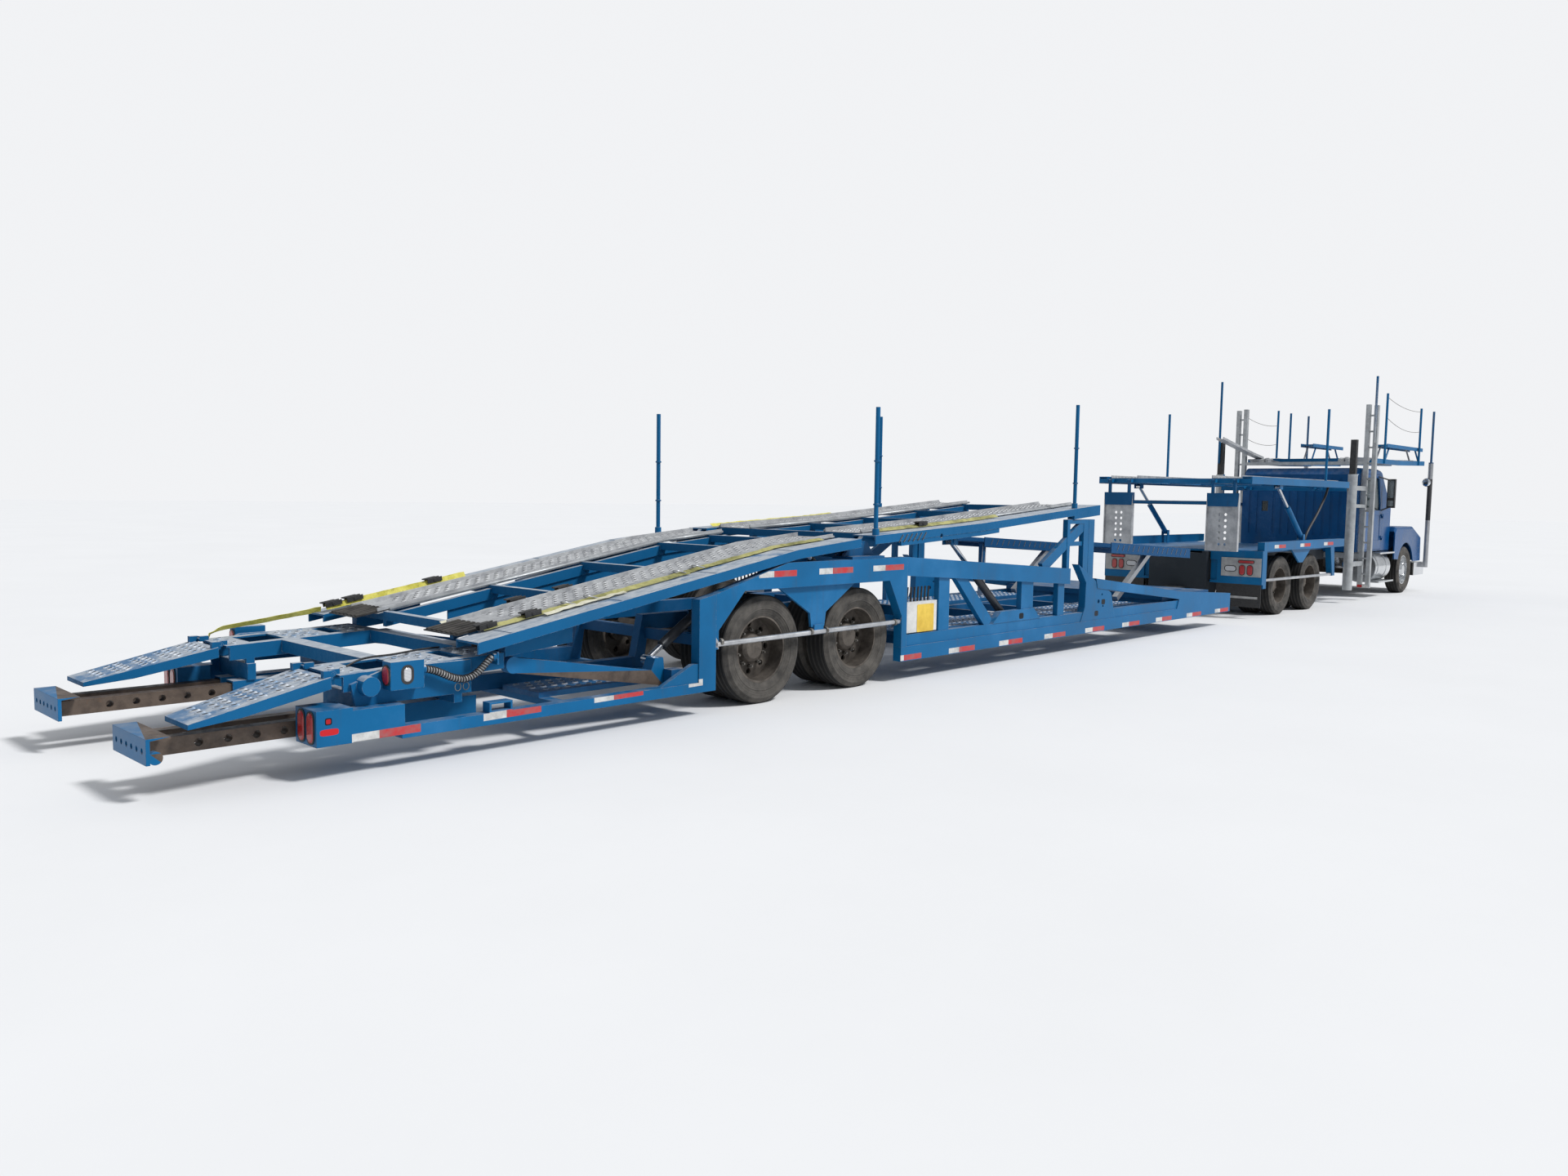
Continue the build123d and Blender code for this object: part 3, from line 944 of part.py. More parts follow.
for side_name, side in SIDES:
    yokes = []
    for z0 in (TYRE_R - BOSS_HALF - YOKE - RUN_GAP, TYRE_R + BOSS_HALF + RUN_GAP):
        yokes.append(rod((STEER_X, side * KING_Y, z0), (STEER_X, side * KING_Y, z0 + YOKE), 52))
        y0, y1 = sorted((side * KING_Y, side * (KING_Y + 95)))
        yokes.append(block(STEER_X - 50, STEER_X + 50, y0, y1, z0, z0 + YOKE))
    y0, y1 = sorted((side * (KING_Y + 60), side * (KING_Y + 95)))
    web = block(STEER_X - 50, STEER_X + 50, y0, y1, TYRE_R - BOSS_HALF - YOKE - RUN_GAP,
                TYRE_R + BOSS_HALF + YOKE + RUN_GAP)
    spindle = rod((STEER_X, side * (KING_Y + 60), TYRE_R),
                  (STEER_X, side * (STEER_Y + 15), TYRE_R), 46)
    knuckle = join(*yokes, web, spindle)
    knuckle = knuckle - rod((STEER_X, side * KING_Y, 0), (STEER_X, side * KING_Y, 900), 20.05)
    keep("knuckle_" + side_name, knuckle)

# Engine block and gearbox casing under the hood.
engine = join(block(10230, 11450, -330, 330, FRAME_TOP + 20, 1390),
              block(10400, 11300, -220, 220, 760, FRAME_TOP + 20),
              block(10700, 10820, -FRAME_Y - 40, FRAME_Y + 40, FRAME_TOP, FRAME_TOP + 60))
keep("engine", engine)

# Fuel tanks with straps and steps, on brackets from the frame.
TANK_R = 290
TANK_Y = CAB_HALF - 180
TANK_Z = 570
tanks = []
for sign in (1, -1):
    tank = rod((9060, sign * TANK_Y, TANK_Z), (9960, sign * TANK_Y, TANK_Z), TANK_R)
    y0, y1 = sorted((sign * 480, sign * 800))
    for x in (9200, 9700):
        tank = join(tank, rod((x, sign * TANK_Y, TANK_Z), (x + 60, sign * TANK_Y, TANK_Z), TANK_R + 8))
        y2, y3 = sorted((sign * (FRAME_Y + FRAME_THICK / 2), sign * TANK_Y))
        tank = join(tank, block(x, x + 60, y2, y3, TANK_Z, FRAME_BOTTOM + 60))
    for step_z in (285, 828):
        y4, y5 = sorted((sign * (TANK_Y - 60), sign * (HALF - 60)))
        tank = join(tank, block(9060, 9960, y4, y5, step_z, step_z + 30))
    tanks.append(tank)
keep("tanks_steps", *tanks)

# Cab: a hollow shell with door openings and windows cut.
ROOF_FRONT = 9480
CAB_BOTTOM = 880
CAB_ROUND = 60
WALL = CAB_WALL
cab_outline = [(CAB_REAR, CAB_BOTTOM), (COWL_X, CAB_BOTTOM), (COWL_X, COWL_Z + 90),
               (ROOF_FRONT, CAB_ROOF - 20), (ROOF_FRONT - 160, CAB_ROOF), (CAB_REAR + 120, CAB_ROOF),
               (CAB_REAR, CAB_ROOF - 120)]
inside_outline = [(CAB_REAR + WALL, CAB_FLOOR), (COWL_X - WALL, CAB_FLOOR), (COWL_X - WALL, COWL_Z + 60),
                  (ROOF_FRONT - 30, CAB_ROOF - WALL - 14), (ROOF_FRONT - 170, CAB_ROOF - WALL),
                  (CAB_REAR + 130, CAB_ROOF - WALL), (CAB_REAR + WALL, CAB_ROOF - 140)]
cab = plate(cab_outline, -CAB_HALF, CAB_HALF)
cab = soften(cab, CAB_ROUND, lambda p: abs(p.Y) > CAB_HALF - 1 and p.Z > CAB_ROOF - 70)
cab = cab - plate(inside_outline, -CAB_HALF + WALL, CAB_HALF - WALL)
cab = cab - block(CAB_REAR - 10, COWL_X + 10, -FRAME_Y - 60, FRAME_Y + 60, 0, FRAME_TOP)
cab = join(cab, block(CAB_REAR, COWL_X, -FRAME_Y - 60, FRAME_Y + 60, FRAME_TOP, FRAME_TOP + 50))
screen_dx = COWL_X - ROOF_FRONT
screen_dz = CAB_ROOF - 20 - COWL_Z - 90


def screen_x(z):
    """Front face of the windscreen pillar at height z."""
    return COWL_X - (z - COWL_Z - 90) * screen_dx / screen_dz


SCREEN_LOW = COWL_Z + 130
SCREEN_HIGH = CAB_ROOF - 110
for y0, y1 in ((-CAB_HALF + 90, -18), (18, CAB_HALF - 90)):
    cab = cab - plate([(screen_x(SCREEN_LOW) - 110, SCREEN_LOW), (screen_x(SCREEN_LOW) + 60, SCREEN_LOW),
                       (screen_x(SCREEN_HIGH) + 60, SCREEN_HIGH),
                       (screen_x(SCREEN_HIGH) - 110, SCREEN_HIGH)], y0, y1)
BACK_WINDOW = (560, 680, 1610, 1800)
BACK_RIBS = 13
BACK_RIB_D = 10
cab = cab - block(CAB_REAR - 10, CAB_REAR + WALL + 10, *BACK_WINDOW)
for i in range(BACK_RIBS):
    groove_y = 900 - i * 150
    if abs(groove_y - 620) > 90:
        cab = cab - block(CAB_REAR - 1, CAB_REAR + BACK_RIB_D, groove_y - 22, groove_y + 22, 1180, 2230)
DOOR_BOTTOM = 905
DOOR_TOP = 2330
door_hole = [(DOOR_REAR, DOOR_BOTTOM), (DOOR_FRONT, DOOR_BOTTOM), (DOOR_FRONT, COWL_Z + 70),
             (screen_x(DOOR_TOP) - 160, DOOR_TOP), (DOOR_REAR, DOOR_TOP)]
cab = cab - plate(door_hole, CAB_HALF - WALL - 5, CAB_HALF + 5)
cab = cab - plate(door_hole, -CAB_HALF - 5, -CAB_HALF + WALL + 5)
DOOR_HINGE_Z = (1120, 1540)
DOOR_PIN = (DOOR_FRONT - 5, CAB_HALF + 14)
DOOR_PIN_R = 12
for hinge_z in DOOR_HINGE_Z:
    low = hinge_z - 40 - SEAT_GAP
    lug = join(block(DOOR_PIN[0], DOOR_PIN[0] + 60, CAB_HALF - 1, DOOR_PIN[1] + 4, low, low + 40),
               rod((*DOOR_PIN, low), (*DOOR_PIN, low + 40), DOOR_PIN_R))
    cab = join(cab, lug, other_side(lug))
keep("cab_shell", cab)

# Doors: panel with its window cut, pane, handle and the mirror on two arms.
GAP = 5
DOOR_T = WALL
WINDOW_TOP = DOOR_TOP - 70
for side_name, side in SIDES:
    door = plate([(DOOR_REAR + GAP, DOOR_BOTTOM + GAP), (DOOR_FRONT - GAP, DOOR_BOTTOM + GAP),
                  (DOOR_FRONT - GAP, COWL_Z + 66), (screen_x(DOOR_TOP) - 168, DOOR_TOP - GAP),
                  (DOOR_REAR + GAP, DOOR_TOP - GAP)], CAB_HALF - DOOR_T, CAB_HALF)
    window = [(DOOR_REAR + 90, SILL_WINDOW), (DOOR_FRONT - 130, SILL_WINDOW),
              (DOOR_FRONT - 130, SILL_WINDOW + 120), (screen_x(WINDOW_TOP) - 250, WINDOW_TOP),
              (DOOR_REAR + 90, WINDOW_TOP)]
    door = door - plate(window, CAB_HALF - DOOR_T - 5, CAB_HALF + 5)
    door = door - plate([(DOOR_REAR + 110, 1080), (DOOR_FRONT - 120, 1080), (DOOR_FRONT - 120, 1560),
                         (DOOR_REAR + 110, 1560)], CAB_HALF - 6, CAB_HALF + 5)
    handle = block(DOOR_REAR + 60, DOOR_REAR + 230, CAB_HALF - 2, CAB_HALF + 26, 1600, 1626)
    arm_low = rod((DOOR_FRONT - 90, CAB_HALF - 4, 1650), (DOOR_FRONT - 40, CAB_HALF + 165, 1730), 13)
    arm_high = rod((DOOR_FRONT - 330, CAB_HALF - 4, 2290), (DOOR_FRONT - 60, CAB_HALF + 165, 2215), 13)
    glass_case = block(DOOR_FRONT - 90, DOOR_FRONT - 10, CAB_HALF + 90, CAB_HALF + 225, 1700, 2250)
    glass_case = glass_case - block(DOOR_FRONT - 100, DOOR_FRONT - 84, CAB_HALF + 102, CAB_HALF + 213, 1722, 1850)
    glass_case = glass_case - block(DOOR_FRONT - 100, DOOR_FRONT - 84, CAB_HALF + 102, CAB_HALF + 213, 1880, 2232)
    door = join(door, handle, arm_low, arm_high, glass_case)
    for hinge_z in DOOR_HINGE_Z:
        door = join(door, block(DOOR_PIN[0] - 60, DOOR_PIN[0], CAB_HALF - 1, DOOR_PIN[1] + 4, hinge_z,
                                hinge_z + 40),
                    rod((*DOOR_PIN, hinge_z), (*DOOR_PIN, hinge_z + 40), DOOR_PIN_R))
    pane = plate(window, CAB_HALF - 30, CAB_HALF - 24)
    keep("door_" + side_name, door if side > 0 else other_side(door))
    keep("door_glass_" + side_name, pane if side > 0 else other_side(pane))

# Fixed glass: two screen halves and the small window in the back panel.
panes = []
for y0, y1 in ((-CAB_HALF + 90, -18), (18, CAB_HALF - 90)):
    panes.append(plate([(screen_x(SCREEN_LOW) - 14, SCREEN_LOW), (screen_x(SCREEN_LOW) - 8, SCREEN_LOW),
                        (screen_x(SCREEN_HIGH) - 8, SCREEN_HIGH),
                        (screen_x(SCREEN_HIGH) - 14, SCREEN_HIGH)], y0, y1))
panes.append(block(CAB_REAR + 20, CAB_REAR + 26, *BACK_WINDOW))
keep("cab_glass", *panes)

# Cab inside: two seats, dash and steering wheel.
inner_floor = FRAME_TOP + 50
seats = []
for seat_y in (-520, 520):
    cushion = block(8560, 9080, seat_y - 240, seat_y + 240, 1340, 1450)
    back = plate([(8440, 1420), (8580, 1420), (8500, 2060), (8390, 2060)], seat_y - 220, seat_y + 220)
    post = block(8640, 8960, seat_y - (150 if seat_y > 0 else 0), seat_y + (0 if seat_y > 0 else 150),
                 CAB_FLOOR, 1340)
    seats.append(join(cushion, back, post - block(8000, 9999, -490, 490, 0, inner_floor)))
dash = plate([(9700, 1300), (COWL_X - WALL, 1240), (COWL_X - WALL, COWL_Z + 30), (9760, 1560)],
             -CAB_HALF + WALL, CAB_HALF - WALL)
wheel_base = Vector(9600, 520, 1560)
tilt = Rot(0, 60, 0)
steering = Pos(*wheel_base) * tilt * Torus(215, 16)
spokes = Pos(*wheel_base) * tilt * Box(400, 30, 14)
steer_column = rod((9600, 520, 1560), (9760, 520, 1470), 26)
keep("cab_inside", *seats, join(dash, steer_column, spokes, steering))

# Hood: hollow one-piece shell with fenders, arches and a grille of bars at the front.
HOOD_REAR = COWL_X + 12
HOOD_TOP_FRONT = 1430
HOOD_CORE = 560
FENDER_OUT = HALF - 130
FENDER_TOP = 1330
ARCH_R = 545
HOOD_LOW = 620
HOOD_T = 24
HOOD_ROUND = 50
core_line = [(HOOD_REAR, 1010), (HOOD_REAR, COWL_Z), (HOOD_FRONT - 160, HOOD_TOP_FRONT),
             (HOOD_FRONT, HOOD_TOP_FRONT - 130), (HOOD_FRONT, HOOD_LOW), (HOOD_FRONT - 260, HOOD_LOW),
             (HOOD_FRONT - 420, 1010)]
core = plate(core_line, -HOOD_CORE, HOOD_CORE)
core = soften(core, HOOD_ROUND, lambda p: abs(p.Y) > HOOD_CORE - 1 and p.Z > HOOD_TOP_FRONT - 80 and
              p.X > HOOD_REAR + 1)
inner_line = [(HOOD_REAR - 5, 1000), (HOOD_REAR - 5, COWL_Z - HOOD_T),
              (HOOD_FRONT - 170, HOOD_TOP_FRONT - HOOD_T), (HOOD_FRONT - 60, HOOD_TOP_FRONT - 160),
              (HOOD_FRONT - 60, HOOD_LOW - 10), (HOOD_FRONT - 520, HOOD_LOW - 10), (HOOD_FRONT - 520, 1000)]
core = core - plate(inner_line, -HOOD_CORE + HOOD_T, HOOD_CORE - HOOD_T)
fender_line = [(HOOD_REAR, 1250), (HOOD_REAR + 60, FENDER_TOP), (STEER_X + 420, FENDER_TOP),
               (HOOD_FRONT - 40, FENDER_TOP - 200), (HOOD_FRONT, HOOD_LOW + 60),
               (HOOD_FRONT, HOOD_LOW), (HOOD_FRONT - 420, HOOD_LOW), (HOOD_REAR, HOOD_LOW + 80)]
fender = plate(fender_line, HOOD_CORE - HOOD_T, FENDER_OUT)
fender = soften(fender, HOOD_ROUND, lambda p: p.Y > FENDER_OUT - 1 and p.Z > FENDER_TOP - 130 and
                p.X > HOOD_REAR + 1)
fender_inner = [(HOOD_REAR - 5, HOOD_LOW - 20), (HOOD_REAR - 5, 1230), (HOOD_REAR + 70, FENDER_TOP - HOOD_T),
                (STEER_X + 415, FENDER_TOP - HOOD_T), (HOOD_FRONT - 70, FENDER_TOP - 220),
                (HOOD_FRONT - 34, HOOD_LOW + 60), (HOOD_FRONT - 34, HOOD_LOW - 20)]
fender = fender - plate(fender_inner, HOOD_CORE, FENDER_OUT - HOOD_T)
fender = fender - rod((STEER_X, HOOD_CORE - 60, TYRE_R), (STEER_X, FENDER_OUT + 40, TYRE_R), ARCH_R)
fender = fender - block(STEER_X - ARCH_R, STEER_X + ARCH_R, HOOD_CORE - 60, FENDER_OUT + 40, 0, TYRE_R)
hood = join(core, fender, other_side(fender))
grille_open = block(HOOD_FRONT - 80, HOOD_FRONT + 20, -420, 420, 760, 1240)
hood = hood - grille_open
for i in range(9):
    bar_z = 800 + i * 50
    hood = join(hood, block(HOOD_FRONT - 40, HOOD_FRONT - 18, -420, 420, bar_z, bar_z + 14))
for sign in (1, -1):
    lamp_hole = block(HOOD_FRONT - 25, HOOD_FRONT + 20, *sorted((sign * 640, sign * 1000)), 820, 1000)
    hood = hood - lamp_hole
HOOD_PIVOT = (HOOD_FRONT + 12, HOOD_LOW - 16)
LUG_Y = 420
for sign in (1, -1):
    y0, y1 = sorted((sign * LUG_Y, sign * (LUG_Y + 20)))
    lug = join(block(HOOD_FRONT - 40, HOOD_FRONT, y0, y1, HOOD_LOW - 8, HOOD_LOW + 60),
               plate([(HOOD_FRONT - 20, HOOD_LOW + 30), (HOOD_FRONT, HOOD_LOW + 30),
                      (HOOD_PIVOT[0] + 10, HOOD_PIVOT[1]), (HOOD_PIVOT[0] - 6, HOOD_PIVOT[1] - 10)],
                     y0, y1),
               rod((HOOD_PIVOT[0], y0, HOOD_PIVOT[1]), (HOOD_PIVOT[0], y1, HOOD_PIVOT[1]), 13))
    lug = lug - rod((HOOD_PIVOT[0], y0 - 5, HOOD_PIVOT[1]), (HOOD_PIVOT[0], y1 + 5, HOOD_PIVOT[1]), 8.05)
    hood = join(hood, lug)
keep("hood", hood)

# Bumper across the front, on brackets from the frame rails.
BUMPER_REAR = HOOD_FRONT + 24
bumper = block(BUMPER_REAR, FRONT_TIP, -1180, 1180, 330, 590)
bumper = join(bumper, block(STEER_X + ARCH_R + 10, BUMPER_REAR, 1100, 1180, 330, 590),
              block(STEER_X + ARCH_R + 10, BUMPER_REAR, -1180, -1100, 330, 590))
for sign in (1, -1):
    y0, y1 = sorted((sign * (FRAME_Y - 60), sign * (FRAME_Y + 60)))
    bumper = join(bumper, block(HOOD_FRONT - 300, BUMPER_REAR, y0, y1, 430, 560))
    bumper = join(bumper, block(HOOD_FRONT - 300, HOOD_FRONT - 180, y0, y1, 430, FRAME_BOTTOM))
bumper = bumper - block(BUMPER_REAR + 60, FRONT_TIP - 18, 155 - HALF, HALF - 155, 350, 570)
for sign in (1, -1):
    for off in (-RUN_GAP - 16, 20 + RUN_GAP):
        y0, y1 = sorted((sign * (LUG_Y + off), sign * (LUG_Y + off + 16)))
        bumper = join(bumper, block(HOOD_PIVOT[0] - 12, HOOD_PIVOT[0] + 12, y0, y1, 550, HOOD_PIVOT[1]),
                      rod((HOOD_PIVOT[0], y0, HOOD_PIVOT[1]), (HOOD_PIVOT[0], y1, HOOD_PIVOT[1]), 12))
    y0, y1 = sorted((sign * (LUG_Y - RUN_GAP - 16), sign * (LUG_Y + 36 + RUN_GAP)))
    bumper = join(bumper, rod((HOOD_PIVOT[0], y0, HOOD_PIVOT[1]), (HOOD_PIVOT[0], y1, HOOD_PIVOT[1]), 8))
keep("bumper", bumper)

# Masts behind the cab: two posts a side with rungs between, and the round lift tube before them.
MAST_Y = (CAB_HALF + 22, CAB_HALF + 92, HALF - 73, HALF - 5)
MAST_LOW = 230
MAST_TOPS = (3580, 3560)
MAST_D = 90
MAST_RUNGS = 11
LIFT_TUBE_X = 7420
LIFT_TUBE_Y = HALF - 105
LIFT_TUBE_R = 80
masts = []
for sign in (1, -1):
    pieces = []
    for (a, b), top in (((MAST_Y[0], MAST_Y[1]), MAST_TOPS[0]), ((MAST_Y[2], MAST_Y[3]), MAST_TOPS[1])):
        y0, y1 = sorted((sign * a, sign * b))
        pieces.append(block(MAST_X, MAST_X + MAST_D, y0, y1, MAST_LOW, top))
    mast = join(*pieces)
    for i in range(MAST_RUNGS):
        rung_z = 480 + i * 290
        mast = join(mast, rod((MAST_X + 40, sign * (MAST_Y[1] - 20), rung_z),
                              (MAST_X + 40, sign * (MAST_Y[2] + 20), rung_z), 16))
    y0, y1 = sorted((sign * FRAME_Y, sign * MAST_Y[0]))
    arm = block(MAST_X + 10, MAST_X + 80, y0, y1 + 20 if sign > 0 else y1, FRAME_BOTTOM + 30,
                FRAME_BOTTOM + 130)
    y0, y1 = sorted((sign * MAST_Y[0], sign * MAST_Y[3]))
    foot = block(MAST_X, MAST_X + MAST_D, y0, y1, MAST_LOW, MAST_LOW + 60)
    mast = join(mast, arm, foot)
    lift = rod((LIFT_TUBE_X, sign * LIFT_TUBE_Y, 230), (LIFT_TUBE_X, sign * LIFT_TUBE_Y, 2290),
               LIFT_TUBE_R)
    y0, y1 = sorted((sign * (LIFT_TUBE_Y - 50), sign * (LIFT_TUBE_Y + 50)))
    lift = join(lift, block(LIFT_TUBE_X - 45, LIFT_TUBE_X + 45, y0, y1, 2280, 2900))
    pole_x = (LIFT_TUBE_X - 61, MAST_X - 18)[sign < 0]
    pole_top = (4040, 4080)[sign < 0]
    pole_y = (LIFT_TUBE_Y + 20, -HALF + 40)[sign < 0]
    lift_pole = rod((pole_x, pole_y, (2500, 2880)[sign < 0]), (pole_x, pole_y, pole_top), POLE_R)
    y0, y1 = sorted((sign * MAST_Y[0], sign * (LIFT_TUBE_Y - 13)))
    stay = block(LIFT_TUBE_X + 30, MAST_X + 10, y0, y1, 640, 720)
    stay = join(lift, stay, block(LIFT_TUBE_X + 30, MAST_X + 10, y0, y1, 1700, 1760))
    masts.append(join(mast, stay, lift_pole))
mast_cross = block(MAST_X + 10, MAST_X + 80, -MAST_Y[0] - 20, MAST_Y[0] + 20, 2490, 2550)
masts_all = join(*masts, mast_cross)
masts_all = masts_all - block(BEAM_FRONT - 200, MAST_X + 500, -FRAME_Y - FRAME_THICK / 2,
                              FRAME_Y + FRAME_THICK / 2, FRAME_BOTTOM, FRAME_TOP)

# Upper deck over the drives: side rails, cross members and tracks, hinged at its front.
DECK2_FRONT = 7100
DECK2_LINE = ((DECK2_REAR, DECK2_Z + 40), (DECK2_FRONT, DECK2_Z + 40))
DECK2_PIVOT_Z = 2060
rail2 = join(block(DECK2_REAR, DECK2_FRONT, DECK2_OUT - 16, DECK2_OUT, DECK2_Z - 70, DECK2_Z + 40),
             block(DECK2_REAR, DECK2_FRONT, DECK2_OUT - 150, DECK2_OUT, DECK2_Z + 26, DECK2_Z + 40),
             block(DECK2_REAR, DECK2_FRONT, DECK2_OUT - 150, DECK2_OUT - 134, DECK2_Z - 40,
                   DECK2_Z + 40))
inner2 = block(DECK2_REAR + 100, DECK2_FRONT - 60, 500, 550, DECK2_Z - 60, DECK2_Z + 10)
deck2 = join(rail2, other_side(rail2), inner2, other_side(inner2))
for cross_x in (DECK2_REAR, 3800, 5000, 6000, DECK2_FRONT - 90):
    deck2 = join(deck2, block(cross_x, cross_x + 90, -DECK2_OUT + 10, DECK2_OUT - 10, DECK2_Z - 60,
                              DECK2_Z + 10))
for sign in (1, -1):
    y0, y1 = sorted((sign * 600, sign * 660))
    ear = join(block(DECK2_FRONT - 40, DECK2_HINGE_X, y0, y1, DECK2_PIVOT_Z - 34, DECK2_PIVOT_Z + 34),
               rod((DECK2_HINGE_X, y0, DECK2_PIVOT_Z), (DECK2_HINGE_X, y1, DECK2_PIVOT_Z), 42))
    ear = ear - rod((DECK2_HINGE_X, y0 - 5, DECK2_PIVOT_Z), (DECK2_HINGE_X, y1 + 5, DECK2_PIVOT_Z),
                    25.05)
    deck2 = join(deck2, ear)
    for off in (-56, 46):
        y0, y1 = sorted((sign * (LIFT_2_Y + off), sign * (LIFT_2_Y + off + 10)))
        deck2 = join(deck2, block(LIFT_2[1][0] - 60, LIFT_2[1][0] + 60, y0, y1, LIFT_2[1][1] - 40,
                                  DECK2_Z + 30))
DECK2_POLES = ((5970, -1, 3340), (5200, 1, 3300))
for pole_x, sign, top in DECK2_POLES:
    pole_y = sign * (DECK2_OUT - POLE_R - 4)
    deck2 = join(deck2, rod((pole_x, pole_y, DECK2_Z - 66), (pole_x, pole_y, top), POLE_R))
TRACK3_OUT = DECK2_OUT - 180
track2 = join(block(DECK2_REAR + 60, DECK2_FRONT - 30, 600, TRACK3_OUT, DECK2_Z + 10, DECK2_Z + 22),
              block(DECK2_REAR + 60, DECK2_FRONT - 30, 600, 612, DECK2_Z + 10, DECK2_Z + 60),
              block(DECK2_REAR + 60, DECK2_FRONT - 30, TRACK3_OUT - 12, TRACK3_OUT, DECK2_Z + 10, DECK2_Z + 60))
track2 = track2 - deck2
keep("upper_deck_tracks", track2, other_side(track2))

# Portal behind the cab that carries the deck's hinge: a cross beam with ears on the lift tubes.
PORTAL_HALF = LIFT_TUBE_Y - 60
portal = block(7330, 7460, -PORTAL_HALF, PORTAL_HALF, 1990, 2110)
for sign in (1, -1):
    for a, b in ((540, 594), (666, 720)):
        y0, y1 = sorted((sign * a, sign * b))
        portal = join(portal, plate([(7340, 1995), (7340, 2105), (DECK2_HINGE_X - 30, 2095),
                                     (DECK2_HINGE_X - 30, 2020)], y0, y1))
    y0, y1 = sorted((sign * 530, sign * 730))
    portal = join(portal, rod((DECK2_HINGE_X, y0, DECK2_PIVOT_Z), (DECK2_HINGE_X, y1, DECK2_PIVOT_Z),
                              25))
    y0, y1 = sorted((sign * MAST_Y[0], sign * (MAST_Y[0] + 90)))
    portal = join(portal, block(7440, MAST_X + 10, y0, y1, 2010, 2090))
masts_all = join(masts_all, portal)

# Rear flip ramps of the upper deck, hung from its end on a cross tube.
HANG_X = DECK2_REAR - 60
HANG_PIN_Z = DECK2_Z - 30
HANG_LOW = 1030
HANG_Y = (600, DECK2_OUT - 150)
HANG_T = 60
panels = []
for sign in (1, -1):
    y0, y1 = sorted((sign * HANG_Y[0], sign * HANG_Y[1]))
    panel = join(block(HANG_X - 8, HANG_X + 8, y0, y1, HANG_LOW, 1900),
                 block(HANG_X - HANG_T / 2, HANG_X + HANG_T / 2, y0, y0 + 14, HANG_LOW, 1900),
                 block(HANG_X - HANG_T / 2, HANG_X + HANG_T / 2, y1 - 14, y1, HANG_LOW, 1900),
                 block(HANG_X - HANG_T / 2, HANG_X + HANG_T / 2, y0, y1, 1700, 1900))
    for i in range(6):
        for hole_y in (y0 + 200, y0 + 290):
            panel = panel - Pos(HANG_X, hole_y, 1130 + i * 90) * Rot(0, 90, 0) * Cylinder(22, 100)
    for lug_y in (y0 + 60, y1 - 100):
        panel = join(panel, block(HANG_X - 20, HANG_X + 20, lug_y, lug_y + 40, 1890, HANG_PIN_Z),
                     rod((HANG_X, lug_y, HANG_PIN_Z), (HANG_X, lug_y + 40, HANG_PIN_Z), 26))
        panel = panel - rod((HANG_X, lug_y - 5, HANG_PIN_Z), (HANG_X, lug_y + 45, HANG_PIN_Z), 12.05)
    panels.append(panel)
hang_tube = rod((HANG_X, -HANG_Y[0] - 10, 1750), (HANG_X, HANG_Y[0] + 10, 1750), 28)
keep("upper_deck_ramps", join(*panels, hang_tube))
hinge_ears = []
for sign in (1, -1):
    y0, y1 = sorted((sign * HANG_Y[0], sign * HANG_Y[1]))
    for lug_y in (y0 + 60, y1 - 100):
        for ear_y in (lug_y - RUN_GAP - 16, lug_y + 40 + RUN_GAP):
            hinge_ears.append(block(HANG_X - 22, DECK2_REAR, ear_y, ear_y + 16, HANG_PIN_Z - 24,
                                    HANG_PIN_Z + 30))
        hinge_ears.append(rod((HANG_X, lug_y - RUN_GAP - 16, HANG_PIN_Z),
                              (HANG_X, lug_y + 40 + RUN_GAP + 16, HANG_PIN_Z), 12))
deck2 = join(deck2, *hinge_ears)
keep("upper_deck_frame", deck2)

# Head rack posts at the front corners, on feet from the bumper.
POST_X = 12080
POST_R = 45
RACK_Y = HALF - 55
posts = []
for sign in (1, -1):
    lower = rod((POST_X, sign * RACK_Y, 480), (POST_X, sign * RACK_Y, 2640), POST_R)
    pole = rod((POST_X, sign * RACK_Y, 2640), (POST_X, sign * RACK_Y, 3680), 22)
    y0, y1 = sorted((sign * 1175, sign * RACK_Y))
    foot = block(POST_X - 40, POST_X + 60, y0, y1, 480, 580)
    posts.append(join(lower, pole, foot))
posts = [post - bumper for post in posts]
keep("rack_posts", *posts)

# Over-cab deck: side rails with a kinked front, cross bars and tracks, hinged on the mast beam.
RACK_REAR = MAST_X + 300
RACK_FRONT = 11950
RACK_LINE = ((RACK_REAR, RACK_Z + 60), (10300, RACK_Z + 60), (RACK_FRONT, RACK_Z + 100))
RACK_OUT = HALF - 145
rack_rail = join(band(RACK_LINE, 0, 90, RACK_OUT - 60, RACK_OUT), band(RACK_LINE, 0, 90, 480, 530))
rack = join(rack_rail, other_side(rack_rail))
for cross_x in (RACK_REAR, 9400, 10200, 11000, RACK_FRONT - 80):
    z = line_z(RACK_LINE, cross_x)
    rack = join(rack, block(cross_x, cross_x + 80, -RACK_OUT + 10, RACK_OUT - 10, z - 70, z + 2))
RACK_PIVOT = (MAST_X + 200, 2600)
for sign in (1, -1):
    y0, y1 = sorted((sign * 700, sign * 760))
    ear = join(block(RACK_PIVOT[0], RACK_REAR + 40, y0, y1, 2570, 2610),
               rod((RACK_PIVOT[0], y0, RACK_PIVOT[1]), (RACK_PIVOT[0], y1, RACK_PIVOT[1]), 40))
    ear = ear - rod((RACK_PIVOT[0], y0 - 5, RACK_PIVOT[1]), (RACK_PIVOT[0], y1 + 5, RACK_PIVOT[1]),
                    22.05)
    rack = join(rack, ear)
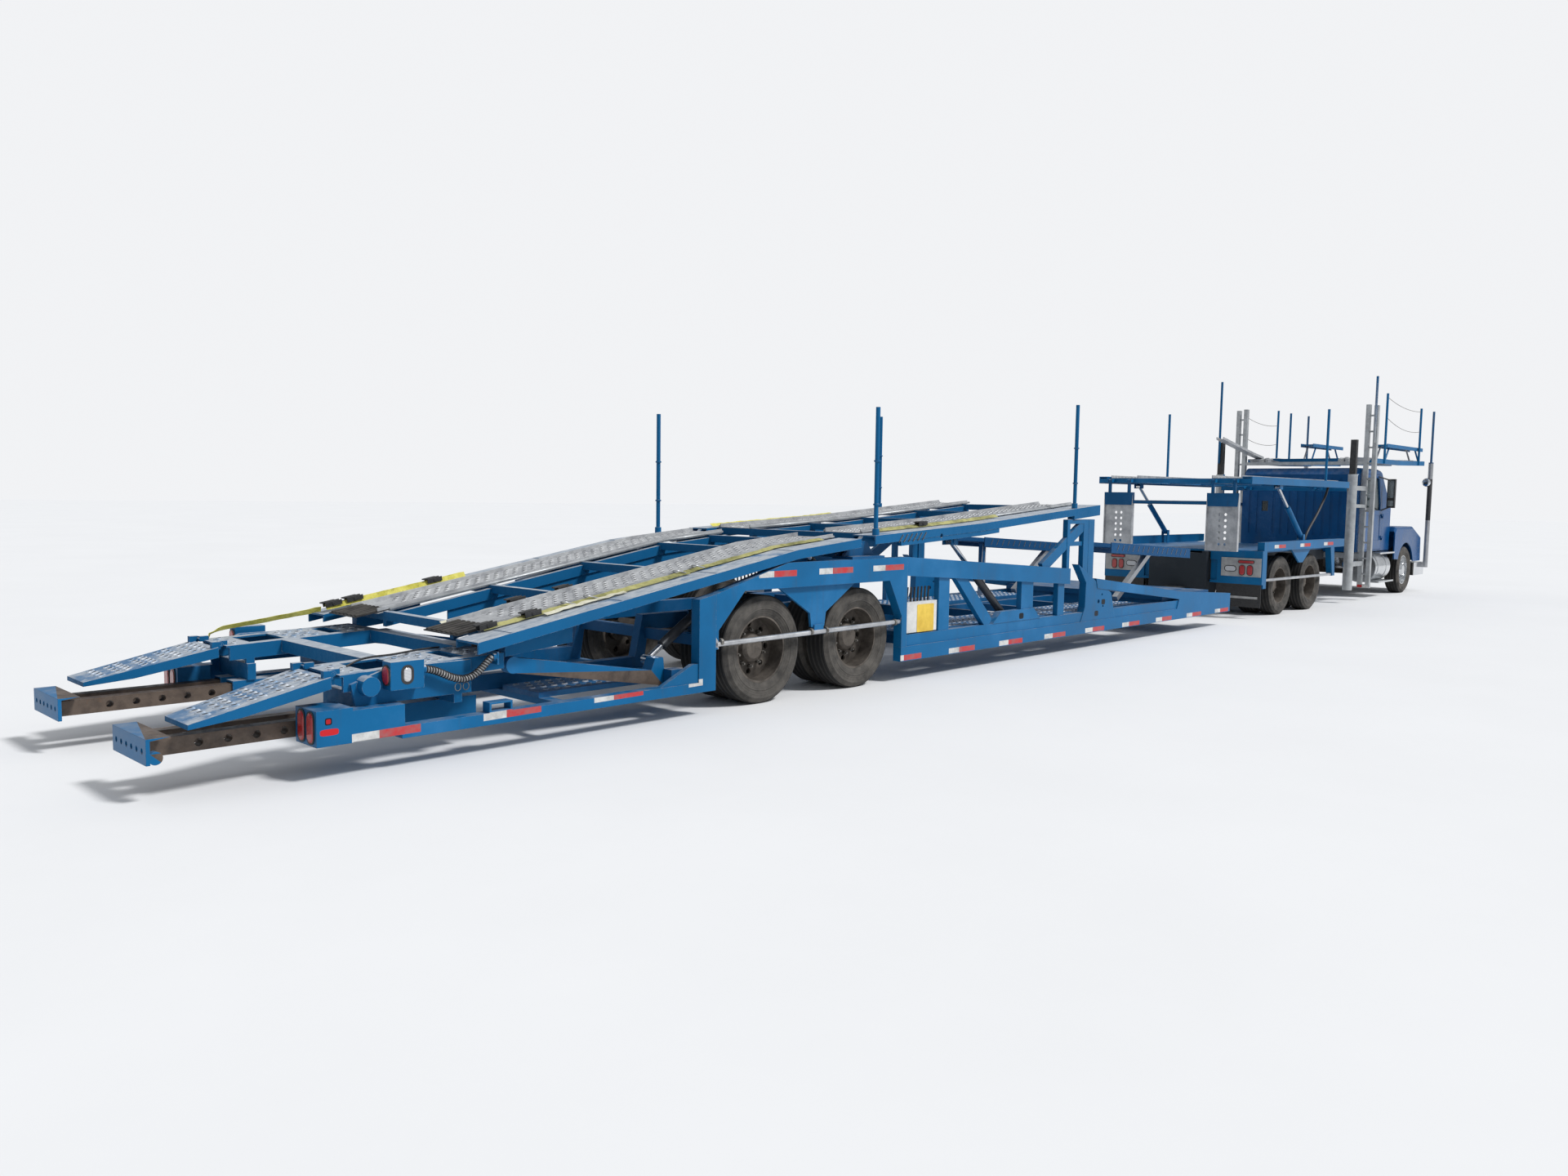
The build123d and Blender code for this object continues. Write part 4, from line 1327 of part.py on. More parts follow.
rack_track = join(band(((RACK_REAR + 60, RACK_Z + 60), RACK_LINE[1], (RACK_FRONT - 20,
                                                                   RACK_Z + 99)), -12, 12, 560, 1050))
rack = join(rack, rack_track, other_side(rack_track))
tail_line = ((6800, 2930), (8240, 2700), (8760, 2632))
rack_tail = join(band(tail_line, -6, 12, 900, 1040), band(tail_line, -40, 46, 900, 914),
                 band(tail_line, -40, 46, 1026, 1040))
rack = join(rack, rack_tail)
FLAPS = ((9500, 11850, 20 - RACK_OUT, 270 - RACK_OUT, 2880), (10100, 11900, 430, 680, 2940))
FLAP_T = 26
for x0, x1, y0, y1, z in FLAPS:
    rack = join(rack, block(x0, x1, y0, y1, z, z + FLAP_T),
                block(x0, x1, y0, y0 + 12, z - 30, z + FLAP_T + 14),
                block(x0, x1, y1 - 12, y1, z - 30, z + FLAP_T + 14))
    strut_y = (y0 + y1) / 2
    for foot_x, head_x in ((x0 + 60, x0 + 300), (x1 - 120, x1 - 400)):
        foot_z = line_z(RACK_LINE, foot_x)
        for off in (-80, 80):
            rack = join(rack, rod((foot_x, strut_y + off, foot_z), (head_x, strut_y + off, z + 10), 16))
RACK_POLES = ((9270, -1, 3850), (11500, -1, 3710), (10100, 1, 3670), (10800, 1, 3660))
for pole_x, sign, top in RACK_POLES:
    pole_y = sign * (RACK_OUT + 6)
    rack = join(rack, rod((pole_x, pole_y, line_z(RACK_LINE, pole_x) - 86), (pole_x, pole_y, top), POLE_R))
keep("over_cab_deck", rack)
rack_ears = []
for sign in (1, -1):
    for a, b in ((640, 694), (766, 820)):
        y0, y1 = sorted((sign * a, sign * b))
        rack_ears.append(plate([(MAST_X + 10, 2490), (MAST_X + 80, 2490), (RACK_PIVOT[0] + 30, 2575),
                                (RACK_PIVOT[0] + 30, 2625), (MAST_X + 10, 2600)], y0, y1))
    y0, y1 = sorted((sign * 630, sign * 830))
    rack_ears.append(rod((RACK_PIVOT[0], y0, RACK_PIVOT[1]), (RACK_PIVOT[0], y1, RACK_PIVOT[1]), 22))
masts_all = join(masts_all, *rack_ears)
keep("masts", masts_all)
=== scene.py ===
# %% [markdown]
# A car transporter, dressed for its picture
# This notebook gives the steel of an articulated car transporter its paint, rubber, pierced track, straps
# and lamps. The steel itself never moves: each piece added here is placed by the sizes of the steel it
# sits on, and rides on the same body, so it follows when a deck or door moves.

# %% Load the frame
import bpy
import bmesh
import math
import random
from mathutils import Matrix, Vector


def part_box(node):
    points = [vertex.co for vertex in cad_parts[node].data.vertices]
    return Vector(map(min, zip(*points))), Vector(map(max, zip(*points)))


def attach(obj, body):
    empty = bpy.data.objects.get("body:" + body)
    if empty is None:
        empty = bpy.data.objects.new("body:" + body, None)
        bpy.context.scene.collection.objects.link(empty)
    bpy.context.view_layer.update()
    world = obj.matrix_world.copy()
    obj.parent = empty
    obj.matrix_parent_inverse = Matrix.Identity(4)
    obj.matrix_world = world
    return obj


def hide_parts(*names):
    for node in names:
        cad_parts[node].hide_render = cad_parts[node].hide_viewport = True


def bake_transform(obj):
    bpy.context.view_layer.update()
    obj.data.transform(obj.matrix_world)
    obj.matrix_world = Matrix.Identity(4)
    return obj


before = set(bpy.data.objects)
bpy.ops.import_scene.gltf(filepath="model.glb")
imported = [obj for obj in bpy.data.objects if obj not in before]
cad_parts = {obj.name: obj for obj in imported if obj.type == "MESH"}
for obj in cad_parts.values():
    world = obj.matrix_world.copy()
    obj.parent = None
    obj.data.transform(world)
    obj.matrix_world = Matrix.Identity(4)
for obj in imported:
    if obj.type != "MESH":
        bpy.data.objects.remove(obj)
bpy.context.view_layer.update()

# %% [markdown]
# The camera stands where the photographer stood, behind and to the right of the trailer, at eye level.
# The view turns a little to one side, looks slightly down and leans by under a degree. Those three
# angles make the camera's axes one after another, which is clearer than a chain of Euler turns.

# %% Camera
EYE = Vector((-14.26, -7.9385, 1.7655))
HEADING = math.radians(43.59)
PITCH = math.radians(4.62)
LEAN = math.radians(0.833)
FOCAL_PX = 1398
PHOTO_WIDTH = 1920
SENSOR = 36

scene = bpy.context.scene
ahead = Vector((math.cos(PITCH) * math.cos(HEADING), math.cos(PITCH) * math.sin(HEADING), -math.sin(PITCH)))
level_right = Vector((math.sin(HEADING), -math.cos(HEADING), 0))
level_up = level_right.cross(ahead)
right = level_right * math.cos(LEAN) + level_up * math.sin(LEAN)
turn = Matrix((right, right.cross(ahead), -ahead)).transposed()
camera_data = bpy.data.cameras.new("camera")
camera_data.sensor_fit = "HORIZONTAL"
camera_data.sensor_width = SENSOR
camera_data.lens = SENSOR * FOCAL_PX / PHOTO_WIDTH
camera_data.clip_end = 400
camera = bpy.data.objects.new("camera", camera_data)
camera.matrix_world = Matrix.Translation(EYE) @ turn.to_4x4()
scene.collection.objects.link(camera)
scene.camera = camera
print("lens", round(camera_data.lens, 2), "mm")

# %% [markdown]
# A rig this long needs light from the whole sky of the studio. A pale world fills the shadows, and one
# broad sun from behind the camera's right shoulder shapes the steel. The view transform is Standard, so
# a colour shows about as it is written.

# %% Light, floor and sky
SUN_STRENGTH = 2.7
SKY_LIGHT = 0.52
SKY_SEEN = 0.93
FLOOR_REACH = 150

scene.view_settings.view_transform = "Standard"
sun_data = bpy.data.lights.new("key", "SUN")
sun_data.energy = SUN_STRENGTH
sun_data.angle = math.radians(11)
sun = bpy.data.objects.new("key", sun_data)
sun.rotation_euler = Vector((-0.35, 0.75, -1.0)).to_track_quat("-Z", "Y").to_euler()
scene.collection.objects.link(sun)

scene.world = bpy.data.worlds.new("studio")
scene.world.use_nodes = True
tree = scene.world.node_tree
tree.nodes.clear()


def sky(colour, strength):
    node = tree.nodes.new("ShaderNodeBackground")
    node.inputs["Color"].default_value = (*colour, 1)
    node.inputs["Strength"].default_value = strength
    return node.outputs[0]


ray = tree.nodes.new("ShaderNodeLightPath")
either = tree.nodes.new("ShaderNodeMath")
either.operation = "MAXIMUM"
choose = tree.nodes.new("ShaderNodeMixShader")
out = tree.nodes.new("ShaderNodeOutputWorld")
for source, socket in ((ray.outputs["Is Camera Ray"], either.inputs[0]),
                       (ray.outputs["Is Transmission Ray"], either.inputs[1]),
                       (either.outputs[0], choose.inputs["Fac"]),
                       (sky((0.93, 0.96, 1.0), SKY_LIGHT), choose.inputs[1]),
                       (sky((0.95, 0.96, 0.98), SKY_SEEN), choose.inputs[2]),
                       (choose.outputs[0], out.inputs["Surface"])):
    tree.links.new(source, socket)

bpy.ops.mesh.primitive_plane_add(size=2 * FLOOR_REACH, location=(0, 0, -0.001))
floor = bpy.context.object
floor.name = "studio_floor"
print("sun", SUN_STRENGTH, "sky", SKY_LIGHT)

# %% [markdown]
# Every finish below is a small network of nodes. This helper keeps those networks readable: it holds
# one material and hands out noise, ramps and mixes by name. Coordinates are the object's own, in
# metres, so a scale of 40 means marks about 25 mm apart, and the pattern rides with a moving deck.

# %% Network: a short way to write nodes


class Network:
    """One material and the nodes that colour it."""

    def __init__(self, name, base=None):
        self.material = base.copy() if base else bpy.data.materials.new(name)
        self.material.name = name
        self.material.use_nodes = True
        self.nodes = self.material.node_tree.nodes
        self.links = self.material.node_tree.links
        self.shader = self.nodes["Principled BSDF"]
        self.place = self.node("TexCoord").outputs["Object"]

    def node(self, kind, **inputs):
        """A new node, with values for its inputs."""
        made = self.nodes.new("ShaderNode" + kind)
        for name, value in inputs.items():
            made.inputs[name].default_value = value
        return made

    def set(self, socket, value):
        if isinstance(value, tuple):
            socket.default_value = (*value, 1)
        elif isinstance(value, (int, float)):
            socket.default_value = value
        else:
            self.links.new(value, socket)

    def stretched(self, scale):
        """Coordinates scaled by a different amount on each axis."""
        node = self.node("Mapping", Scale=scale)
        self.set(node.inputs["Vector"], self.place)
        return node.outputs[0]

    def noise(self, scale, detail=4, rough=0.6, at=None):
        node = self.node("TexNoise", Scale=scale, Detail=detail, Roughness=rough)
        self.set(node.inputs["Vector"], at or self.place)
        return node.outputs["Fac"]

    def stops(self, value, *stops):
        """A colour ramp: (position, colour) pairs, where a number stands for a grey."""
        node = self.node("ValToRGB")
        ramp = node.color_ramp
        while len(ramp.elements) < len(stops):
            ramp.elements.new(0.5)
        for element, (position, colour) in zip(ramp.elements, stops):
            element.position = position
            grey = isinstance(colour, (int, float))
            element.color = (colour, colour, colour, 1) if grey else (*colour, 1)
        self.set(node.inputs["Fac"], value)
        return node.outputs["Color"]

    def blend(self, factor, a, b):
        """Mix two colours; a tuple is a fixed colour and anything else is an output."""
        node = self.node("Mix")
        node.data_type = "RGBA"
        for socket, value in (("Factor", factor), (6, a), (7, b)):
            self.set(node.inputs[socket], value)
        return node.outputs[2]

    def maths(self, how, a, b=None, clamp=False):
        node = self.node("Math")
        node.operation = how
        node.use_clamp = clamp
        self.set(node.inputs[0], a)
        if b is not None:
            self.set(node.inputs[1], b)
        return node.outputs[0]

    def over(self, a, b):
        """1 where a is more than b."""
        return self.maths("GREATER_THAN", a, b)

    def under(self, a, b):
        return self.maths("LESS_THAN", a, b)

    def minus(self, a, b):
        return self.maths("SUBTRACT", a, b)

    def product(self, first, *others):
        """All of these multiplied; where each is a test, 1 where every test holds."""
        for other in others:
            first = self.maths("MULTIPLY", first, other)
        return first

    def power(self, a, exponent):
        return self.maths("POWER", self.maths("ABSOLUTE", a), exponent)

    def waves(self, a, often, low, high):
        """Stops on a sine wave."""
        return self.stops(self.maths("SINE", self.product(a, often)), low, high)

    def axis(self, letter, of=None):
        """One coordinate of the place, or of another vector."""
        node = self.node("SeparateXYZ")
        self.set(node.inputs[0], of or self.place)
        return node.outputs[letter]


print("network ready")

# %% [markdown]
# Wear follows the shape of a piece: dust settles on faces that look up, and paint leaves sharp edges
# first. The brush adds masks for both. Masks could be painted by hand, but a computed mask suits every
# piece at once and stays right when a piece changes.

# %% Brush: a network that knows ledges and edges


class Brush(Network):
    """A network with masks for wear, a relief and a last step."""

    def facing_up(self):
        """1 on faces that look up, 0 on walls and undersides."""
        return self.over(self.axis("Z", self.node("NewGeometry").outputs["Normal"]), 0.6)

    def edges(self, radius):
        """1 along sharp edges, found by comparing the surface with a rounded copy of itself."""
        self.soft = self.node("Bevel", Radius=radius)
        self.soft.samples = 4
        dot = self.node("VectorMath")
        dot.operation = "DOT_PRODUCT"
        self.set(dot.inputs[0], self.node("NewGeometry").outputs["Normal"])
        self.set(dot.inputs[1], self.soft.outputs[0])
        node = self.node("MapRange", **{"From Min": 0.02, "From Max": 0.12})
        self.set(node.inputs["Value"], self.minus(1.0, dot.outputs["Value"]))
        return node.outputs[0]

    def bump(self, height, distance, strength):
        node = self.node("Bump", Distance=distance, Strength=strength)
        self.set(node.inputs["Height"], height)
        if hasattr(self, "soft"):
            self.set(node.inputs["Normal"], self.soft.outputs[0])
        self.set(self.shader.inputs["Normal"], node.outputs[0])

    def sheen_of_sky(self):
        """Weaker and bluer reflections, as outdoors, so that a deep blue stays deep in a white studio."""
        self.shader.inputs["Specular IOR Level"].default_value = 0.3
        self.shader.inputs["Specular Tint"].default_value = (0.50, 0.75, 1.0, 1)

    def finish(self, colour, rough, metal=0.0):
        for name, value in (("Base Color", colour), ("Roughness", rough), ("Metallic", metal)):
            self.set(self.shader.inputs[name], value)
        return self.material


print("brush ready")

# %% [markdown]
# Fleet blue is the finish that carries the picture. On the real rig it is a single gloss coat that has
# chalked in patches, lost its edges to chains and tyres, and gathered road dust on every ledge. Three
# masks make that: broad noise for chalking, the bevel trick for edges and upward faces for dust.

# %% Paint that has worked for its living
DUST = (0.42, 0.40, 0.37)
GREY_WORN = (0.36, 0.38, 0.41)
RUST = (0.16, 0.075, 0.035)


def working_paint(name, colour, chipped=0.55, dusty=0.35, gloss=0.34):
    """Enamel with faded patches, bare edges and dust on ledges."""
    brush = Brush(name)
    fade = brush.noise(1.3, 6)
    paler = tuple(min(1.0, c * 1.18 + 0.02) for c in colour)
    deeper = tuple(c * 0.82 for c in colour)
    enamel = brush.stops(fade, (0.32, deeper), (0.52, colour), (0.72, paler))
    streak = brush.noise(3.0, 5, 0.7, at=brush.stretched((3, 3, 0.5)))
    grime = brush.stops(streak, (0.55, 0.0), (0.75, 0.28))
    enamel = brush.blend(grime, enamel, (0.05, 0.055, 0.06))
    speckle = brush.stops(brush.noise(34, 5, 0.75), (0.47, 0.0), (0.56, chipped))
    scatter = brush.stops(brush.noise(11, 8, 0.72), (0.70, 0.0), (0.735, chipped))
    chips = brush.maths("MAXIMUM", brush.product(brush.edges(0.005), speckle), scatter)
    worn = brush.blend(chips, enamel, brush.blend(brush.noise(60), GREY_WORN, RUST))
    dust = brush.stops(brush.noise(7, 6), (0.40, 0.0), (0.66, dusty))
    ledge = brush.product(brush.facing_up(), dust)
    rough = brush.stops(fade, (0.3, gloss), (0.7, gloss + 0.16))
    rough = brush.maths("MAXIMUM", rough, brush.maths("MULTIPLY", ledge, 2.0, clamp=True))
    brush.bump(brush.noise(90, 3), 0.0006, 0.35)
    brush.sheen_of_sky()
    return brush.finish(brush.blend(ledge, worn, DUST), rough)


fleet_blue = working_paint("fleet_blue", (0.004, 0.118, 0.290))
# The same fleet paint, darker: painted shade for the spine, neck, brackets and upper deck ramps.
painted_shade_blue = working_paint("painted_shade_blue", (0.004, 0.078, 0.205), dusty=0.4)
cab_paint = working_paint("cab_paint", (0.002, 0.064, 0.205), chipped=0.12, dusty=0.12, gloss=0.16)
chassis_paint = working_paint("chassis_paint", (0.030, 0.033, 0.037), dusty=0.4, gloss=0.5)
post_paint = working_paint("post_paint", (0.004, 0.088, 0.225), chipped=0.3)
print("paints", fleet_blue.name, cab_paint.name)

# %% [markdown]
# Where tyres roll, the paint is gone. The flanges of the upper decks are scrubbed to a pale chalky grey
# with blue left only in the lee of the edges, so that finish starts from the steel and adds the blue.

# %% Scrubbed rails


def scrubbed_rail(name, blue, left=(0.57, 0.66)):
    """Steel scrubbed by tyres on top, blue on its walls."""
    brush = Brush(name)
    chalk = brush.stops(brush.noise(9, 8, 0.7, at=brush.stretched((1, 3, 3))), (0.30, (0.20, 0.24, 0.30)),
                        (0.48, (0.36, 0.40, 0.45)), (0.66, (0.52, 0.54, 0.56)))
    patches = brush.stops(brush.noise(2.1, 7, 0.66), (left[0], 0.0), (left[1], 0.75))
    top = brush.blend(patches, chalk, blue)
    wall = brush.stops(brush.noise(1.2, 6), (0.35, tuple(c * 0.8 for c in blue)), (0.7, blue))
    flecks = brush.stops(brush.noise(30, 5), (0.45, 0.0), (0.55, 0.7))
    wall = brush.blend(brush.product(brush.edges(0.005), flecks), wall, GREY_WORN)
    rough = brush.stops(brush.noise(20, 4), (0.3, 0.45), (0.7, 0.72))
    brush.bump(brush.noise(120, 4), 0.0008, 0.5)
    brush.sheen_of_sky()
    return brush.finish(brush.blend(brush.facing_up(), wall, top), rough)


def bright_track(name, pale, dark, metal=0.35, rust=0.35):
    """Pierced track: pale scrubbed metal, dark in the hollows, rust blooming from the holes."""
    brush = Brush(name)
    paler = tuple(min(1.0, c * 1.15) for c in pale)
    base = brush.stops(brush.noise(6, 8, 0.7), (0.32, dark), (0.55, pale), (0.75, paler))
    bloom = brush.stops(brush.noise(14, 7, 0.75), (0.60, 0.0), (0.72, rust))
    rough = brush.stops(brush.noise(25, 4), (0.3, 0.36), (0.7, 0.62))
    brush.edges(0.002)
    brush.bump(brush.noise(160, 3), 0.0005, 0.4)
    return brush.finish(brush.blend(bloom, base, RUST), rough, metal=metal)


rail_finish = scrubbed_rail("rail_finish", (0.004, 0.112, 0.278))
silver_track = bright_track("silver_track", (0.50, 0.51, 0.52), (0.30, 0.31, 0.33), rust=0.18)
blue_track = bright_track("blue_track", (0.008, 0.118, 0.290), (0.004, 0.076, 0.210), metal=0.1, rust=0.12)
slot_bright = bright_track("slot_bright", (0.50, 0.53, 0.57), (0.10, 0.24, 0.42), metal=0.2, rust=0.05)
rusty_steel = bright_track("rusty_steel", (0.115, 0.085, 0.065), (0.045, 0.032, 0.026), metal=0.2, rust=0.7)
mast_alloy = bright_track("mast_alloy", (0.47, 0.49, 0.50), (0.33, 0.34, 0.35), metal=0.6, rust=0.03)
print("steel finishes ready")

# %% [markdown]
# Rubber, chrome and the small dark materials come next. On a working lorry none of them is one even
# colour, so each drifts between two tones, and its shine drifts along with them.

# %% Rubber and metal


def paint(thing, *finishes):
    """Give an object, or the piece of steel of this name, these materials in place of what it had."""
    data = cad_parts[thing].data if isinstance(thing, str) else thing.data
    data.materials.clear()
    for finish in finishes:
        data.materials.append(finish)


def simple(name, dark, light, rough, metal=0.0, scale=12, relief=0.0):
    """A finish that drifts between two tones."""
    brush = Brush(name)
    drift = brush.noise(scale, 6, 0.66)
    colour = brush.stops(drift, (0.34, dark), (0.68, light))
    shine = brush.stops(drift, (0.3, max(0.02, rough - 0.07)), (0.7, min(1.0, rough + 0.07)))
    if relief:
        brush.bump(brush.noise(scale * 8, 3), relief, 0.5)
    return brush.finish(colour, shine, metal=metal)


rubber = simple("rubber", (0.020, 0.019, 0.018), (0.085, 0.078, 0.070), 0.86, scale=7, relief=0.001)
hose_rubber = simple("hose_black", (0.012, 0.012, 0.013), (0.030, 0.030, 0.031), 0.5, scale=40)
black_plastic = simple("black_plastic", (0.012, 0.012, 0.013), (0.040, 0.040, 0.041), 0.55, scale=20)
# Near-black for the holes in the tracks and the slots in the webs: painted shade where the steel is open.
hole_shade = simple("hole_shade", (0.030, 0.030, 0.033), (0.075, 0.072, 0.070), 0.85, scale=18)
wheel_disc = simple("wheel_disc", (0.050, 0.042, 0.036), (0.155, 0.135, 0.115), 0.7, metal=0.3, scale=8)
axle_iron = simple("axle_iron", (0.035, 0.030, 0.027), (0.095, 0.080, 0.068), 0.75, metal=0.3, scale=9)
chrome = simple("chrome", (0.55, 0.57, 0.60), (0.74, 0.75, 0.77), 0.13, metal=1.0, scale=3)
rod_chrome = simple("rod_chrome", (0.50, 0.51, 0.53), (0.72, 0.73, 0.74), 0.16, metal=1.0, scale=16)
mirror_face = simple("mirror_face", (0.62, 0.66, 0.70), (0.74, 0.77, 0.80), 0.05, metal=1.0, scale=2)
tank_alloy = simple("tank_alloy", (0.52, 0.54, 0.56), (0.72, 0.73, 0.74), 0.2, metal=0.9, scale=3)
white_enamel = simple("white_enamel", (0.50, 0.50, 0.49), (0.74, 0.74, 0.72), 0.4, scale=5)
engine_iron = simple("engine_iron", (0.05, 0.055, 0.06), (0.12, 0.12, 0.12), 0.6, metal=0.4, scale=14)
cab_trim = simple("cab_trim", (0.045, 0.045, 0.048), (0.085, 0.083, 0.080), 0.75, scale=10)
cylinder_dark = simple("cylinder_dark", (0.020, 0.024, 0.030), (0.060, 0.062, 0.066), 0.4, metal=0.3, scale=9)
guard_silver = simple("guard_silver", (0.40, 0.41, 0.43), (0.62, 0.63, 0.64), 0.35, metal=0.7, scale=8)
bare_worn = simple("bare_worn", (0.28, 0.285, 0.29), (0.46, 0.46, 0.455), 0.6, metal=0.3, scale=10)
hook_steel = simple("hook_steel", (0.10, 0.09, 0.08), (0.30, 0.29, 0.27), 0.5, metal=0.7, scale=20)
paint(floor, simple("floor_pale", (0.765, 0.768, 0.775), (0.785, 0.788, 0.795), 0.9, scale=0.3))
print("plain finishes ready")

# %% [markdown]
# Window glass is see-through with a tint and faint smears. The lamps aren't lit, so a lens is coloured
# plastic: fine ribs throw the light about, and a clear coat on top gives the hard glint.

# %% Glass and lenses


def window_glass():
    """Tinted safety glass that lets the cab's inside show."""
    brush = Brush("window_glass")
    tint = brush.stops(brush.noise(0.8, 2), (0.3, (0.12, 0.16, 0.17)), (0.7, (0.20, 0.25, 0.26)))
    brush.shader.inputs["Transmission Weight"].default_value = 0.85
    brush.shader.inputs["IOR"].default_value = 1.45
    return brush.finish(tint, brush.stops(brush.noise(5, 5), (0.4, 0.03), (0.8, 0.10)))


def lens(name, deep, bright):
    """A ribbed lamp lens."""
    brush = Brush(name)
    ribs = brush.maths("SINE", brush.product(brush.axis("Z"), 900.0))
    brush.bump(ribs, 0.0008, 0.5)
    brush.shader.inputs["Coat Weight"].default_value = 0.6
    return brush.finish(brush.stops(ribs, (0.2, deep), (0.9, bright)), 0.2)


glass = window_glass()
red_lens = lens("red_lens", (0.30, 0.010, 0.012), (0.62, 0.020, 0.022))
amber_lens = lens("amber_lens", (0.65, 0.16, 0.010), (0.95, 0.30, 0.02))
clear_lens = lens("clear_lens", (0.42, 0.43, 0.45), (0.74, 0.75, 0.77))
print("glass", glass.name, "lenses", red_lens.name, amber_lens.name, clear_lens.name)

# %% [markdown]
# The picture needs more variety than the steel model's material slots hold: floor tracks and ramps differ
# from side rails. So each piece of steel is painted by name, here or in a cell of its own further down.

# %% Paint the steel
PAINT = {
    fleet_blue: ("trailer_towers", "rear_lift_arms", "upper_deck_frame", "over_cab_deck", "upper_lift_barrels"),
    rail_finish: ("rear_deck_frame", "front_deck_frame", "trailer_tail_frame"),
    painted_shade_blue: ("trailer_spine", "trailer_neck", "deck_brackets", "upper_deck_ramps"),
    cab_paint: ("cab_shell", "door_left", "door_right", "hood"),
    chassis_paint: ("tractor_frame",),
    silver_track: ("rear_deck_tracks", "front_deck_tracks", "upper_deck_tracks"),
    blue_track: ("trailer_floor_tracks",),
    rusty_steel: ("skid_left", "skid_right"),
    mast_alloy: ("masts",),
    tank_alloy: ("tanks_steps",),
    chrome: ("bumper",),
    axle_iron: ("trailer_axles", "tractor_axles", "knuckle_left", "knuckle_right"),
    white_enamel: ("valve_box",),
    engine_iron: ("engine",),
    cab_trim: ("cab_inside",),
    glass: ("cab_glass", "door_glass_left", "door_glass_right"),
    cylinder_dark: ("rear_lift_barrels", "front_lift_barrels"),
    rod_chrome: ("rear_lift_rods", "front_lift_rods", "upper_lift_rods"),
    hose_rubber: ("tail_hose",),
}
for finish, nodes in PAINT.items():
    for node in nodes:
        paint(node, finish)
print("painted", sum(map(len, PAINT.values())))

# %% [markdown]
# Each wheel node holds its tyres and its disc together. The join between them is a circle about the
# axle, so the faces beyond that circle are given rubber and those inside it the disc's finish. A tread
# is cut by grooves that run round it and sidewalls carry fine moulded rings. Both depend only on the
# distance from the axle and the place across the wheel, so each axle line gets its own rubber.

# %% Tyres and discs
RIM_RADIUS = 0.286
TYRE_RADIUS = 0.464
TREAD_DEPTH = 0.010
AXLES = {"trailer_wheel_rear": -7.4225, "trailer_wheel_front": -6.1775,
         "drive_wheel_rear": 4.24, "drive_wheel_front": 5.56, "front_wheel": 10.94}


def tyre_rubber(name, axle):
    """Dusty rubber with rings on the wall and grooves on the tread, centred on one axle."""
    brush = Brush(name)
    across = brush.power(brush.minus(brush.axis("X"), axle), 2.0)
    height = brush.power(brush.minus(brush.axis("Z"), TYRE_RADIUS), 2.0)
    radius = brush.maths("SQRT", brush.maths("ADD", across, height))
    tread = brush.over(radius, TYRE_RADIUS - TREAD_DEPTH)
    rings = brush.waves(radius, 330.0, (0.35, 0.0), (0.9, 0.5))
    ridge = brush.waves(radius, 95.0, (0.80, 0.0), (0.95, 1.0))
    grooves = brush.waves(brush.axis("Y"), 120.0, (0.30, 0.0), (0.55, 1.0))
    dusty = brush.noise(6, 6, 0.66)
    wall = brush.stops(dusty, (0.34, (0.028, 0.026, 0.024)), (0.68, (0.105, 0.096, 0.085)))
    worn = brush.stops(dusty, (0.34, (0.014, 0.014, 0.014)), (0.68, (0.050, 0.047, 0.043)))
    brush.bump(brush.blend(tread, brush.maths("ADD", rings, ridge), grooves), 0.003, 0.8)
    # The grooves are painted near-black: painted shade in the grooves of the tread.
    return brush.finish(brush.blend(tread, wall, brush.blend(grooves, (0.006, 0.006, 0.006), worn)), 0.87)


WHEELS = {name: next(start for start in AXLES if name.startswith(start))
          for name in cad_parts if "wheel_" in name and "wells" not in name}
tyres = {start: tyre_rubber("rubber_" + start, x) for start, x in AXLES.items()}
for name, start in WHEELS.items():
    paint(name, tyres[start], tank_alloy if start == "front_wheel" else wheel_disc)
    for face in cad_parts[name].data.polygons:
        x, _, z = face.center
        face.material_index = int(math.hypot(x - AXLES[start], z - TYRE_RADIUS) < RIM_RADIUS)
print("wheels", len(WHEELS))

# %% [markdown]
# Small parts are built in bulk: one mesh holds all the nuts, or all the bars, of a kind. These helpers
# add simple solids to a growing mesh, then hand over one object that rides on the right body.

# %% Helpers for small solids
BACK = (-1, 0, 0)
FRONT = (1, 0, 0)
SIDES = (("left", 1), ("right", -1))


def placed(name, data, finish):
    """A new object in the scene."""
    thing = bpy.data.objects.new(name, data)
    scene.collection.objects.link(thing)
    paint(thing, finish)
    return thing


